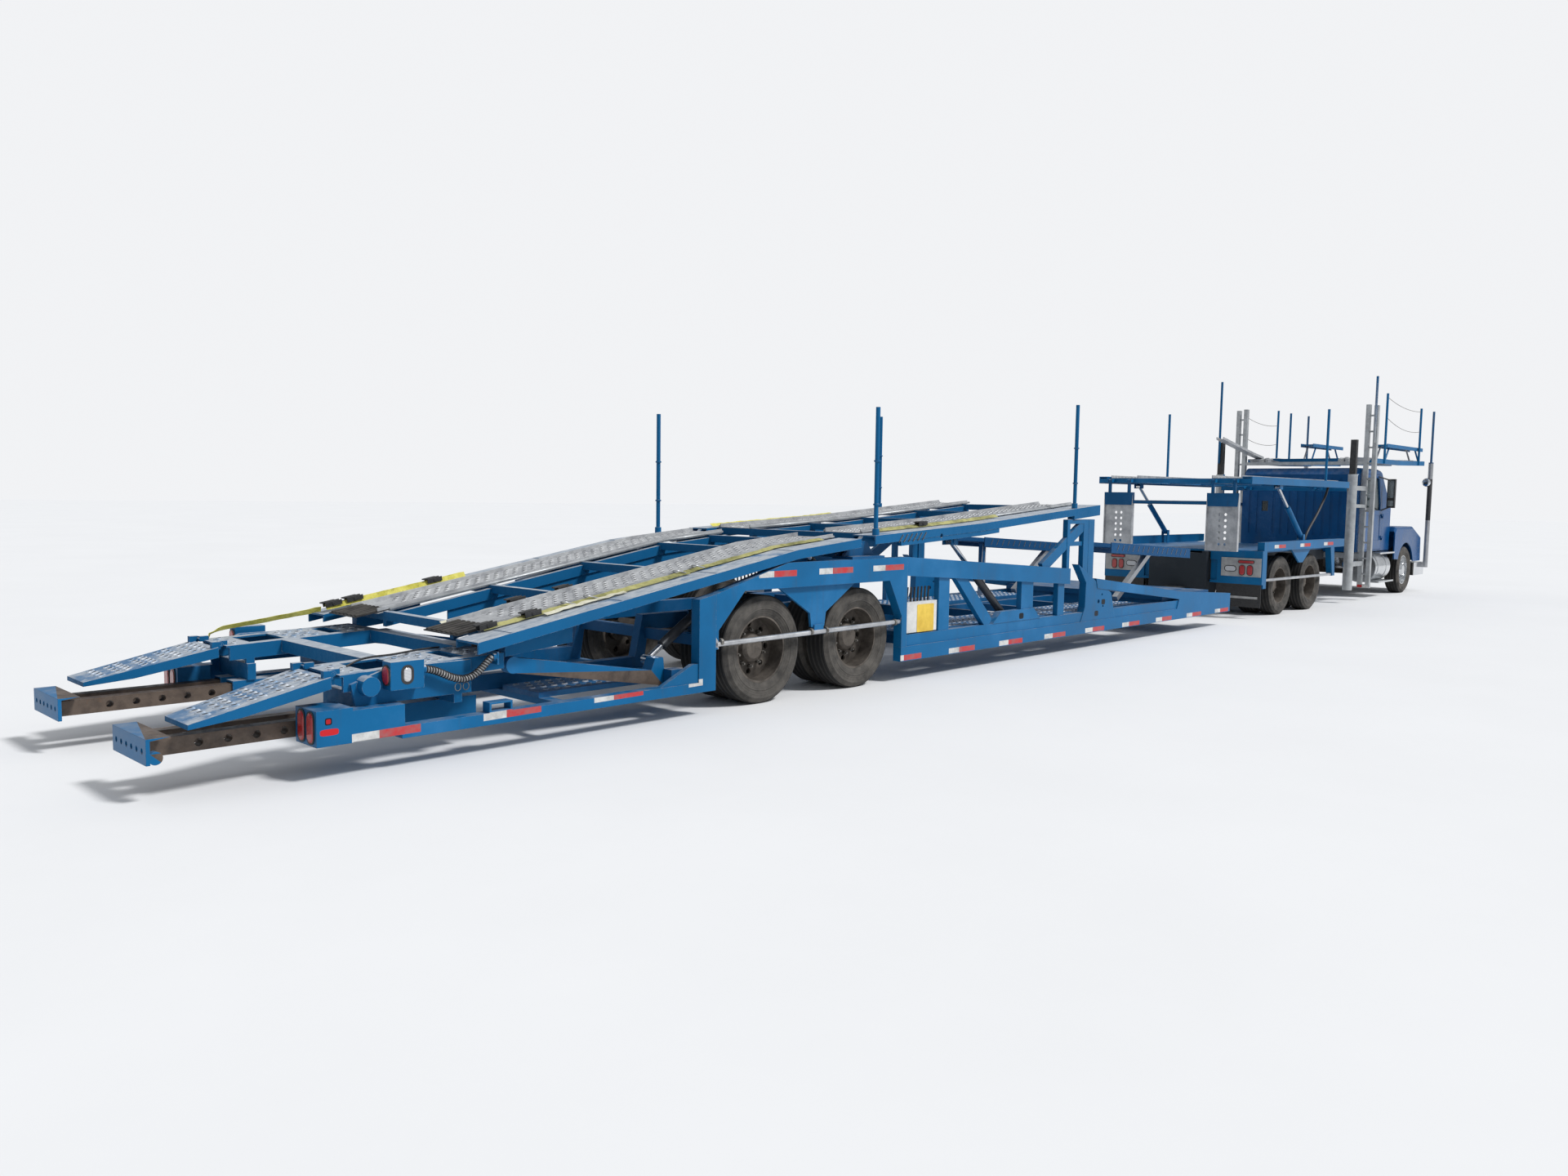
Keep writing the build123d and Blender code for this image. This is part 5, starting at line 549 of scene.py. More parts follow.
class Batch:
    """A mesh that small solids are added to, one after another."""

    def __init__(self):
        self.mesh = bmesh.new()

    def block(self, place, size):
        bmesh.ops.create_cube(self.mesh, size=1, matrix=place @ Matrix.Diagonal((*size, 1)))

    def box(self, one, other, turn=Matrix()):
        """A block between two opposite corners, turned about its middle."""
        low, high = (Vector(map(pick, one, other)) for pick in (min, max))
        self.block(Matrix.Translation((low + high) / 2) @ turn, high - low)

    def bar(self, start, end, radius, sides=12):
        """A round bar between two points."""
        start, end = Vector(start), Vector(end)
        turn = (end - start).to_track_quat("Z", "Y").to_matrix().to_4x4()
        bmesh.ops.create_cone(self.mesh, cap_ends=True, segments=sides, radius1=radius, radius2=radius,
                              depth=(end - start).length, matrix=Matrix.Translation((start + end) / 2) @ turn)

    def slab(self, start, end, width, thick, normal=(0, 0, 1)):
        """A flat bar between two points, its wide face looking along normal."""
        start, end = Vector(start), Vector(end)
        along = (end - start).normalized()
        across = Vector(normal).cross(along).normalized()
        turn = Matrix((along, across, along.cross(across))).transposed().to_4x4()
        self.block(Matrix.Translation((start + end) / 2) @ turn, ((end - start).length, width, thick))

    def dome(self, centre, radii, rings=5, sides=14):
        """A squashed ball."""
        bmesh.ops.create_uvsphere(self.mesh, u_segments=sides, v_segments=rings, radius=1,
                                  matrix=Matrix.Translation(centre) @ Matrix.Diagonal((*radii, 1)))

    def skin(self, rings):
        """Walls from ring to ring and a face over the first and the last."""
        count = len(rings[0])
        for low, top in zip(rings, rings[1:]):
            for step in range(count):
                after = (step + 1) % count
                self.mesh.faces.new((low[step], low[after], top[after], top[step]))
        self.mesh.faces.new(rings[-1])
        self.mesh.faces.new(tuple(reversed(rings[0])))

    def tile(self, centre, out, wide, size, depth, corner, taper=1.0):
        """A plate with rounded corners standing on a face: out is the way it looks."""
        centre, out, wide = Vector(centre), Vector(out), Vector(wide)
        high = out.cross(wide)
        half_wide, half_high = size[0] / 2, size[1] / 2
        rings = []
        for scale, lift in ((1.0, 0.0), (1.0, depth * 0.55), (taper, depth)):
            ring = []
            for step in range(20):
                quarter, part = divmod(step, 5)
                angle = math.radians(90 * quarter + 22.5 * part)
                aim = math.radians(90 * quarter + 45)
                a = math.copysign(half_wide - corner, math.cos(aim)) + corner * math.cos(angle)
                b = math.copysign(half_high - corner, math.sin(aim)) + corner * math.sin(angle)
                ring.append(self.mesh.verts.new(centre + wide * a * scale + high * b * scale + out * lift))
            rings.append(ring)
        self.skin(rings)

    def data(self, name):
        """The finished mesh, under this name."""
        data = bpy.data.meshes.new(name)
        self.mesh.to_mesh(data)
        self.mesh.free()
        return data

    def done(self, name, finish, body, slot=None, bevel=0.0, smooth=False):
        for face in self.mesh.faces:
            face.smooth = smooth
        thing = placed(name, self.data(name), finish)
        if bevel:
            edge = thing.modifiers.new("edge", "BEVEL")
            edge.width = bevel
            edge.segments = 2
            edge.limit_method = "ANGLE"
        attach(thing, body)


print("batches ready")

# %% [markdown]
# Hoses, cables and bent rods are curves with a round section. A few points along the middle are enough,
# because Blender makes the skin and smooths the bends, and a point is easy to move later.

# %% Helpers for round bars and cables


def round_curve(name, points, radius, sides, kind):
    """A capped round curve through these points."""
    curve = bpy.data.curves.new(name, "CURVE")
    curve.dimensions = "3D"
    curve.bevel_depth = radius
    curve.bevel_resolution = sides
    curve.use_fill_caps = True
    line = curve.splines.new(kind)
    line.points.add(len(points) - 1)
    for spot, point in zip(line.points, points):
        spot.co = (*point, 1)
    return curve


def tube(name, points, radius, finish, body, resolution=6, sides=3):
    """A smoothly bent round bar or cable."""
    curve = round_curve(name, points, radius, sides, "NURBS")
    curve.resolution_u = resolution
    curve.splines[0].order_u = 3
    curve.splines[0].use_endpoint_u = True
    thing = placed(name, curve, finish)
    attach(thing, body)
    return thing


def lerp(line, x):
    """The height of a bent line of (x, z) points at x."""
    for (x0, z0), (x1, z1) in zip(line, line[1:]):
        if x <= x1 or (x1, z1) == line[-1]:
            return z0 + (z1 - z0) * (x - x0) / (x1 - x0)


print("round bars ready")

# %% [markdown]
# The hydraulic hose at the tail sags between two glands. It is one plain spline through the same
# points as the steel model's copy, which it stands for in the picture.

# %% Tail hose
HOSE_ROUTE = ((-10.570, -1.240, 0.620), (-10.500, -1.240, 0.604), (-10.430, -1.241, 0.568),
              (-10.360, -1.242, 0.536), (-10.290, -1.242, 0.522), (-10.220, -1.241, 0.536),
              (-10.160, -1.240, 0.575), (-10.112, -1.240, 0.622), (-10.075, -1.240, 0.652))
hose = tube("hose", HOSE_ROUTE, 0.020, bare_worn, "trailer", resolution=12, sides=5)
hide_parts("tail_hose")

# %% [markdown]
# Wheel tracks on such a lorry are pressed from sheet and pierced with oval holes whose rims stand up,
# so that tyres grip in the wet and straps can hook in anywhere. Here each track gets rows of raised
# oval buttons, each with a dark cap in the middle that is painted shade for its hole, set out along the
# slope of the plate that carries them.

# %% Pressed ovals on the tracks
OVAL_RISE = 0.010
OVAL_SINK = 0.001


def oval(rims, pits, place, long_way, wide, hollow):
    """One raised oval with a dark cap in the middle, painted shade for its hole; hollow is the cap's share of its
    size.
    """
    for batch, scale, rise, top in ((rims, 1.0, OVAL_RISE, 0.4), (pits, hollow, OVAL_RISE + 0.0012, 0.5)):
        matrix = place @ Matrix.Translation((0, 0, rise / 2 - OVAL_SINK))
        matrix = matrix @ Matrix.Diagonal((long_way * scale, wide * scale, rise, 1))
        bmesh.ops.create_cone(batch.mesh, cap_ends=True, segments=14, radius1=0.5, radius2=top, depth=1,
                              matrix=matrix)


def on_slope(x, y, z, slope, lean=0.0):
    """A place on a plate that climbs forward, turned on the plate by lean."""
    turn = Matrix.Rotation(-slope, 4, "Y") @ Matrix.Rotation(lean, 4, "Z")
    return Matrix.Translation((x, y, z)) @ turn


def ovals(name, line, lanes, pitch, size, body, finish, slot, lean=0.0):
    """Rows of raised oval rims along a sloping (x, z) line, one row for each y in lanes."""
    rims, pits = Batch(), Batch()
    start, end = line[0][0], line[-1][0]
    step = 0.01
    for row, y in enumerate(lanes):
        for index in range(int((end - start) / pitch)):
            x = start + pitch * (index + 0.5) + pitch / 2 * (row % 2)
            if x > end - pitch / 2:
                continue
            slope = math.atan2(lerp(line, x + step) - lerp(line, x - step), 2 * step)
            oval(rims, pits, on_slope(x, y, lerp(line, x), slope, lean if row % 2 else -lean), *size, 0.52)
    rims.done(name + "_rims", finish, body, slot)
    # The hollows are dark caps: painted shade for the holes.
    pits.done(name + "_hollows", hole_shade, body)


print("ovals ready")

# %% [markdown]
# The two lift decks, the lower floor, the deck over the drives and the one over the cab all carry the
# same pressed track. One table lists them: the line each follows, where its rows lie and what moves it.

# %% Ovals on every track
DECK_A = ((-10.210, 0.762), (-7.100, 1.305), (-6.260, 1.385))
DECK_C = ((-6.060, 1.410), (-4.340, 1.510), (-1.860, 1.710))


def lifted(line, rise, start, end):
    """The part of a line from start to end, raised."""
    inner = [(x, z + rise) for x, z in line if start < x < end]
    return ((start, lerp(line, start) + rise), *inner, (end, lerp(line, end) + rise))


def rows(low, high, count, sign=1):
    return [sign * (low + (high - low) * (index + 0.5) / count) for index in range(count)]


TRACKS = {
    "deck_a": (lifted(DECK_A, 0.006, -9.72, -6.36), 0.535, 0.962, 6, "rear_deck", silver_track),
    "deck_c": (lifted(DECK_C, 0.006, -5.88, -2.00), 0.535, 0.962, 6, "front_deck", silver_track),
    "drive_deck": (((2.88, 2.132), (7.04, 2.132)), 0.625, 1.035, 5, "upper_deck", silver_track),
    "lower_floor": (((-5.38, 0.450), (-0.42, 0.450)), 0.580, 1.130, 5, "trailer", slot_bright),
    "rear_floor": (((-9.54, 0.320), (-8.22, 0.320)), 0.580, 1.010, 4, "trailer", slot_bright),
    "over_cab": (((8.70, 2.632), (10.30, 2.632), (11.84, 2.669)), 0.580, 1.030, 4, "over_deck", silver_track),
}
for name, (line, inner, outer, count, body, finish) in TRACKS.items():
    for side, sign in SIDES:
        ovals(f"{name}_{side}", line, rows(inner, outer, count, sign), 0.096, (0.060, 0.036), body, finish,
              "track_steel")
print("tracks", list(TRACKS))

# %% [markdown]
# The ramps at the tail are bolder: long slots set diagonally, each with a standing lip, in a plate that
# keeps its blue border. Their tops are worn bright where tyres climb. The flip ramps' rows narrow
# towards the tip.

# %% Slots in the tail plates and flip ramps
TAIL_LINE = ((-11.096, 0.6188), (-9.930, 0.660))
TAIL_SLOTS = ((-11.07, -10.91), (-10.63, -10.30), (-10.17, -9.96))
RAMP = ((-11.980, 0.432), (-11.150, 0.616))
RAMP_SLOPE = math.atan2(RAMP[1][1] - RAMP[0][1], RAMP[1][0] - RAMP[0][0])
RAMP_ROWS = (-11.175, -11.935)
RAMP_PITCH = 0.080
SLOT_LEAN = 0.5
for side, sign in SIDES:
    for part, (start, end) in enumerate(TAIL_SLOTS):
        ovals(f"tail_{side}_{part}", lifted(TAIL_LINE, 0.0, start, end), rows(0.680, 1.120, 6, sign), 0.086,
              (0.062, 0.030), "trailer", slot_bright, "rail_worn", lean=SLOT_LEAN)
    rims, pits = Batch(), Batch()
    root, tip = RAMP_ROWS
    for index in range(int((root - tip) / RAMP_PITCH)):
        x = root - RAMP_PITCH * (index + 0.5)
        reach = (root - x) / (root - tip)
        for y in rows(0.690 + 0.110 * reach, 1.115, 5 if reach < 0.7 else 4, sign):
            place = on_slope(x + 0.02 * (index % 2), y, lerp(RAMP, x), RAMP_SLOPE, SLOT_LEAN * sign)
            oval(rims, pits, place, 0.068, 0.034, 0.5)
    rims.done(f"ramp_slots_{side}_rims", slot_bright, f"flip_{side}", "track_steel")
    pits.done(f"ramp_slots_{side}_hollows", hole_shade, f"flip_{side}")

# %% [markdown]
# Conspicuity tape is the law's own pattern: 457 mm strips, seven parts white to eleven parts red, on a
# 914 mm pitch. It is thinner than paint here, so it is painted: the material asks where each point lies
# along the lorry and how high, and turns white or red inside the strips. Small lamps and holes in the
# same faces are painted the same way, as ovals: a hole is near-black, painted shade for its inside, and
# the round side lamp has a black rubber rim of the same near-black.

# %% Reflective tape in the paint
WHITE_TAPE = (0.72, 0.72, 0.70)
RED_TAPE = (0.55, 0.015, 0.018)
# Near-black: painted shade inside the sill holes, and the black rubber rim of the round side lamp.
HOLE_SHADE_AND_RIM = (0.004, 0.005, 0.007)
SIDE_RED = (0.42, 0.012, 0.014)
TAPE_FACE = 1.288
MARK_FACE = 1.280
PITCH = 0.914
STRIP = 0.457
WHITE_SHARE = 7 / 18


def taped(name, start, bottom, top, end=None, slope=0.0, pitch=PITCH, marks=()):
    """Fleet paint with tape on its outer face, which may climb with the steel, and oval marks."""
    brush = Brush(name, fleet_blue)
    x, y, z = (brush.axis(letter) for letter in "XYZ")
    outward = brush.maths("ABSOLUTE", y)
    along = brush.minus(x, start)
    height = brush.minus(z, brush.product(along, slope))
    share = brush.maths("FRACT", brush.maths("DIVIDE", along, pitch))
    inside = brush.product(brush.over(height, bottom), brush.under(height, top), brush.over(outward, TAPE_FACE),
                           brush.over(along, 0.0), brush.under(share, STRIP / pitch))
    if end is not None:
        inside = brush.product(inside, brush.under(x, end))
    strip = brush.blend(brush.over(share, WHITE_SHARE * STRIP / pitch), WHITE_TAPE, RED_TAPE)
    grime = brush.stops(brush.noise(9, 6, 0.7), (0.42, 0.85), (0.7, 0.35))
    strip = brush.blend(grime, (0.20, 0.19, 0.18), strip)
    colour = brush.blend(inside, brush.shader.inputs["Base Color"].links[0].from_socket, strip)
    for mark_x, mark_z, half_x, half_z, mark in marks:
        reach = [brush.power(brush.maths("DIVIDE", brush.minus(way, at), half), 4.0)
                 for way, at, half in ((x, mark_x, half_x), (z, mark_z, half_z))]
        within = brush.product(brush.under(brush.maths("ADD", *reach), 1.0), brush.over(outward, MARK_FACE))
        colour = brush.blend(within, colour, mark)
    brush.set(brush.shader.inputs["Base Color"], colour)
    return brush.material


# The sill holes are near-black ovals, painted shade inside them.
SILL_HOLES = [(x, z, 0.045, 0.032, HOLE_SHADE_AND_RIM) for x, z in ((-1.70, 0.55), (-1.86, 0.42), (-3.52, 0.50))]
SIDE_LAMPS = [(-11.23, 0.306, 0.058, 0.020, RED_TAPE), (-11.235, 0.372, 0.022, 0.022, HOLE_SHADE_AND_RIM),
              (-11.235, 0.372, 0.015, 0.015, SIDE_RED)]
TAPES = {
    "trailer_sills": taped("sill_tape", -5.78, 0.207, 0.260, marks=SILL_HOLES),
    "trailer_rear_frame": taped("low_rail_tape", -11.09, 0.222, 0.274, end=-8.2, slope=0.012, marks=SIDE_LAMPS),
    "trailer_wheel_wells": taped("beam_tape", -7.58, 1.083, 1.135, end=-5.5, pitch=0.745),
    "tractor_rear_body": taped("side_beam_tape", 3.64, 1.066, 1.120, end=6.4, pitch=1.085),
}
for node, finish in TAPES.items():
    paint(node, finish)
print("taped", list(TAPES))

# %% [markdown]
# The head rack posts are blue poles in tubes that are bare at the foot and black above, so their finish
# comes in bands of height. The nose ramps' webs are a darker blue, painted shade, with pale worn lips,
# and the flip ramps are half scrubbed.

# %% Banded posts and worn ramps


def banded(name, *bands):
    """A finish in bands of height: (top, colour, metal) from the ground up."""
    brush = Brush(name)
    height = brush.axis("Z")
    drift = brush.noise(9, 6, 0.66)
    colour, metal = bands[-1][1:]
    for top, tone, shine in reversed(bands[:-1]):
        below = brush.under(height, top)
        colour = brush.blend(below, colour, tone)
        metal = brush.maths("ADD", brush.product(below, shine), brush.product(brush.minus(1.0, below), metal))
    colour = brush.blend(brush.stops(drift, (0.4, 0.0), (0.75, 0.35)), colour, (0.10, 0.10, 0.10))
    return brush.finish(colour, brush.stops(drift, (0.3, 0.32), (0.7, 0.55)), metal=metal)


post_bands = banded("post_bands", (1.45, (0.45, 0.46, 0.48), 0.8), (2.30, (0.03, 0.03, 0.034), 0.1),
                    (2.62, (0.40, 0.41, 0.43), 0.7), (9.0, (0.004, 0.088, 0.225), 0.0))
ramp_worn = scrubbed_rail("ramp_worn", (0.004, 0.112, 0.278), left=(0.47, 0.56))
paint("rack_posts", post_bands)
# The nose webs' deep blue is painted shade; their pale tops are wear.
paint("nose_ramps", scrubbed_rail("nose_shade_and_wear", (0.004, 0.068, 0.190)))
for side, _ in SIDES:
    paint("flip_ramp_" + side, ramp_worn)
print("bands and ramps")

# %% [markdown]
# Some steel pieces carry two finishes: the skids end in a blue plate, the hanging ramps are blue above
# and scrubbed pale below, the guard rods along the wheels are galvanised, and the tractor's tail has
# black rubber flaps under its wall. Faces are sorted by where their middles lie.

# %% Pieces with two finishes
CAB_SIDE = 1.060


def two_tone(node, second, test):
    """Give the faces of a node whose middles pass the test a second finish."""
    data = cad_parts[node].data
    data.materials.append(second)
    for face in data.polygons:
        if test(face.center):
            face.material_index = len(data.materials) - 1


for side, _ in SIDES:
    two_tone(f"skid_{side}", fleet_blue, lambda p: p.x < -12.135)
    two_tone(f"door_{side}", black_plastic, lambda p: abs(p.y) > CAB_SIDE + 0.030)
two_tone("upper_deck_ramps", silver_track, lambda p: p.z < 1.70)
two_tone("nose_ramps", guard_silver, lambda p: p.z < 0.93)
two_tone("valve_box", black_plastic, lambda p: p.z > 0.7645)
two_tone("masts", post_paint, lambda p: p.z > 3.6 or (p.x < 7.381 and abs(p.y) > 1.18 and p.z > 2.5))
two_tone("masts", black_plastic, lambda p: 2.30 < p.z < 3.0 and p.x < 7.47 and abs(p.y) > 1.13)
two_tone("masts", fleet_blue, lambda p: abs(p.y) < 1.12 and p.x < 8.2)
two_tone("over_cab_deck", silver_track, lambda p: 0.55 < abs(p.y) < 1.06 and p.z < 3.0)
two_tone("over_cab_deck", fleet_blue, lambda p: p.z > 2.84 and p.x > 9.4)
two_tone("rear_lift_arms", rusty_steel, lambda p: -9.0 < p.x < -8.82 and abs(p.y) > 1.05)
two_tone("tractor_rear_body", hose_rubber, lambda p: p.x < 3.21 and p.z < 0.521 and abs(p.y) > 0.59)
for node in ("trailer_wheel_wells", "tractor_rear_body"):
    two_tone(node, guard_silver, lambda p: abs(p.y) > 1.234 and 0.535 < p.z < 0.612 and p.x > -8.15 and not (
        6.16 < p.x < 6.30 or abs(p.x + 6.8) < 0.07 or 3.15 < p.x < 3.28))
print("two-tone pieces done")

# %% [markdown]
# Lamps sit in black rubber rims. The low boxes at the trailer's tail hold two tall red lamps each, the
# upper boxes a square red one and a clear one that looks outboard. The tractor carries a bare alloy
# plate on each side of its tail with a clear oval, two red ovals and a red bar.

# %% Lamps


def lamps(name, finish, body, *spots, depth=0.012, rim=0.018):
    """Rounded lenses in rubber rims on both sides; a spot is (centre, outward axis, (width, height))."""
    rims, lenses = Batch(), Batch()
    for sign in (1, -1):
        for (x, y, z), out, size in spots:
            place = (x, sign * y, z), (out[0], sign * out[1], 0), (0, 1, 0) if out[0] else (1, 0, 0)
            corner = min(size) * 0.45
            rims.tile(*place, (size[0] + rim, size[1] + rim), depth * 0.6, corner + rim / 2)
            lenses.tile(*place, size, depth, corner, taper=0.86)
    rims.done(name + "_rims", black_plastic, body)
    lenses.done(name, finish, body)


lamps("low_lamps", red_lens, "trailer", *(((-11.310, y, 0.332), BACK, (0.082, 0.185)) for y in (1.098, 1.222)))
lamps("upper_lamps", red_lens, "trailer", ((-10.830, 1.236, 0.603), BACK, (0.080, 0.115)))
lamps("outboard_lamps", clear_lens, "trailer", ((-10.715, 1.2835, 0.603), (0, 1, 0), (0.052, 0.090)),
      depth=0.009, rim=0.034)
lamps("tractor_tail_lamps", red_lens, "tractor", ((3.174, 0.995, 0.735), BACK, (0.078, 0.145)),
      ((3.174, 1.115, 0.735), BACK, (0.078, 0.145)), ((3.174, 1.055, 0.862), BACK, (0.235, 0.034)))
lamps("reversing_lamps", clear_lens, "tractor", ((3.174, 0.815, 0.752), BACK, (0.165, 0.075)))
hood_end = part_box("hood")[1][0]
lamps("headlamps", clear_lens, "hood_body", ((hood_end - 0.026, 0.820, 0.910), FRONT, (0.330, 0.150)), depth=0.022)

plates, strips, markers = Batch(), Batch(), Batch()
for sign in (1, -1):
    plates.box((3.174, sign * 0.670, 0.635), (3.192, sign * 1.280, 0.920))
    strips.box((3.178, sign * 0.620, 0.300), (3.194, sign * 1.240, 0.335))
plates.done("lamp_plates", bare_worn, "tractor", bevel=0.002)
strips.done("flap_strips", bare_worn, "tractor", bevel=0.002)
for y in (-0.60, -0.15, 0.0, 0.15, 0.60):
    markers.dome((9.290, y, 2.428), (0.040, 0.022, 0.016))
markers.done("roof_markers", amber_lens, "tractor", smooth=True)

# %% [markdown]
# The mirrors are silvered glass set back in black cases on the doors, a tall flat one above and a small
# one below. They ride with the doors. A round convex one looks down at the bumper.

# %% Mirrors and cab fittings
for side, sign in SIDES:
    mirrors = Batch()
    for low, high in ((1.732, 1.840), (1.890, 2.222)):
        mirrors.tile((9.5755, sign * (CAB_SIDE + 0.1575), (low + high) / 2), BACK, (0, 1, 0),
                     (0.100, high - low), 0.005, 0.018)
    mirrors.done(f"mirrors_{side}", mirror_face, f"door_{side}_body")
shell, face = Batch(), Batch()
shell.dome((12.040, -1.190, 2.230), (0.030, 0.088, 0.088), sides=24, rings=12)
shell.bar((12.050, -1.190, 2.230), (12.075, -1.215, 2.230), 0.010)
face.dome((12.018, -1.190, 2.230), (0.018, 0.080, 0.080), sides=24, rings=12)
shell.done("convex_mirror_shell", black_plastic, "tractor", smooth=True)
face.done("convex_mirror_face", mirror_face, "tractor", smooth=True)
wipers = Batch()
for y in (-0.55, 0.35):
    wipers.bar((9.905, y, 1.660), (9.800, y + 0.30, 1.860), 0.007)
wipers.done("wipers", black_plastic, "tractor")
print("mirrors")

# %% [markdown]
# Webbing straps lie where drivers leave them, along the outer edge of each track, with their ratchets
# and hooks. A strap is a thin ribbon: each station along it has a place and a roll, 0 when the webbing
# lies flat and 90 degrees when it stands on its edge. Webbing sags and twists a little between stations.

# %% Straps
STRAP_THICK = 0.0025
STRAP_STEP = 0.05


def ribbon(name, stations, width, finish, body, waver=0.004):
    """Webbing through (x, y, z, roll) stations."""
    rng = random.Random(name)
    path = []
    for a, b in zip(stations, stations[1:]):
        steps = max(3, int((Vector(b[:3]) - Vector(a[:3])).length / STRAP_STEP))
        for step in range(steps):
            share = step / steps
            ease = share * share * (3 - 2 * share)
            spot = [p + (q - p) * share for p, q in zip(a[:3], b[:3])]
            roll = a[3] + (b[3] - a[3]) * ease + rng.uniform(-5, 5)
            spot[1] += rng.uniform(-waver, waver)
            spot[2] += rng.uniform(0, waver)
            path.append((Vector(spot), math.radians(roll)))
    path.append((Vector(stations[-1][:3]), math.radians(stations[-1][3])))
    batch, rings, length = Batch(), [], 0.0
    for index, (spot, roll) in enumerate(path):
        before, after = path[max(0, index - 1)][0], path[min(len(path) - 1, index + 1)][0]
        along = (after - before).normalized()
        level = Vector((0, 0, 1)).cross(along).normalized()
        wide = level * math.cos(roll) + along.cross(level) * math.sin(roll)
        normal = along.cross(wide) * STRAP_THICK / 2
        wide = wide * width / 2
        corners = (wide + normal, normal - wide, -wide - normal, wide - normal)
        rings.append([batch.mesh.verts.new(spot + corner) for corner in corners])
        length += (spot - before).length
    batch.skin(rings)
    bmesh.ops.recalc_face_normals(batch.mesh, faces=batch.mesh.faces)
    strap = placed(name, batch.data(name), finish)
    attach(strap, body)


print("webbing", STRAP_THICK, "thick")

# %% [markdown]
# The webbing is woven polyester in yellow, olive and a pale grey, faded by the sun and dark at the
# folds. Its fine cross ribs are a bump, since ribs in the mesh would be too small to see from here. The
# table holds the route, width, colour and body of each strap.

# %% Webbing finishes and routes


def webbing(name, deep, pale):
    """Woven polyester: fine cross ribs, faded patches and grime at the folds."""
    brush = Brush(name)
    fade = brush.stops(brush.noise(5, 6, 0.7), (0.36, deep), (0.62, pale))
    grime = brush.stops(brush.noise(17, 6, 0.7), (0.55, 0.0), (0.72, 0.6))
    brush.bump(brush.noise(420, 2, 0.5), 0.0008, 0.6)
    return brush.finish(brush.blend(grime, fade, (0.05, 0.048, 0.03)), 0.85)


def along_deck(line, xs, y, rise, roll):
    """Stations that follow a deck's line."""
    return [(x, y, lerp(line, x) + rise, roll) for x in xs]


yellow_web = webbing("yellow_web", (0.42, 0.38, 0.035), (0.72, 0.66, 0.16))
olive_web = webbing("olive_web", (0.14, 0.14, 0.045), (0.42, 0.40, 0.16))
pale_web = webbing("pale_web", (0.45, 0.43, 0.30), (0.70, 0.68, 0.55))

FAR_TAIL = [(-10.20, 1.075, 0.800, 60), (-10.45, 1.10, 0.760, 55), (-10.72, 1.13, 0.722, 48),
            (-10.93, 1.155, 0.694, 40), (-11.02, 1.175, 0.655, 20), (-11.045, 1.185, 0.560, 5)]
NEAR_DECK = (along_deck(DECK_A, (-10.02, -9.70, -9.40), -1.035, 0.020, 20)
             + along_deck(DECK_A, (-9.10, -8.80, -8.45, -8.15), -1.06, 0.022, 28))
STRAPS = {
    "far_deck": (along_deck(DECK_A, (-10.16, -9.90, -9.60, -9.30, -9.05, -8.90), 1.075, 0.040, 62),
                 0.050, yellow_web, "rear_deck"),
    "far_tail": (FAR_TAIL, 0.050, yellow_web, "trailer"),
    "near_deck": (NEAR_DECK, 0.052, olive_web, "rear_deck"),
    "near_loose": (along_deck(DECK_A, (-9.55, -9.30, -9.05, -8.82), -1.09, 0.016, 8),
                   0.050, pale_web, "rear_deck", 0.008),
    "inner": (along_deck(DECK_A, (-10.02, -9.75, -9.45, -9.15, -8.85), -0.480, 0.012, 25),
              0.050, pale_web, "rear_deck", 0.006),
    "upper": (along_deck(DECK_A, (-8.15, -7.80, -7.40, -7.10, -6.80, -6.50), -1.02, 0.016, 18),
              0.052, olive_web, "rear_deck"),
    "front": (along_deck(DECK_C, (-5.75, -5.2, -4.7, -4.2, -3.7), -1.055, 0.020, 30), 0.050, olive_web, "front_deck"),
    "front_far": (along_deck(DECK_C, (-5.95, -5.4, -4.9, -4.4, -4.0), 1.060, 0.022, 35),
                  0.050, yellow_web, "front_deck"),
}
for name, strap in STRAPS.items():
    ribbon("strap_" + name, *strap)
print("straps laid", list(STRAPS))

# %% [markdown]
# A ratchet is a folded steel frame with a spool and a handle. Seen from a few metres it is a dark block
# with two cheeks, so that is what is made, and the wire hooks at the strap ends are bent rods. Each
# track has a round lip along both edges.

# %% Ratchets, hooks and lips of the tracks
DECK_SLOPE = math.atan2(DECK_A[1][1] - DECK_A[0][1], DECK_A[1][0] - DECK_A[0][0])


def above(x, rise):
    """Height over the rear deck's line."""
    return lerp(DECK_A, x) + rise


def ratchets(name, body, slope, spots):
    """Each has two cheeks, a spool and a handle."""
    batch, turn = Batch(), Matrix.Rotation(-slope, 4, "Y")
    for x, y, z in spots:
        for side in (-0.026, 0.026):
            batch.box((x - 0.070, y + side - 0.003, z - 0.018), (x + 0.070, y + side + 0.003, z + 0.022), turn)
        batch.bar((x, y - 0.034, z), (x, y + 0.034, z), 0.014)
        batch.box((x - 0.100, y - 0.022, z + 0.012), (x + 0.020, y + 0.022, z + 0.022), turn)
    batch.done(name, black_plastic, body, bevel=0.002)


def lips(name, body, line, *stops):
    """Round lips from stop to stop along the edges of both tracks."""
    batch = Batch()
    for y in (0.512, 0.985, -0.512, -0.985):
        for ends in zip(stops, stops[1:]):
            batch.bar(*((x, y, lerp(line, x) + 0.012) for x in ends), 0.012, sides=10)
    batch.done(name, mast_alloy, body, "track_steel", smooth=True)


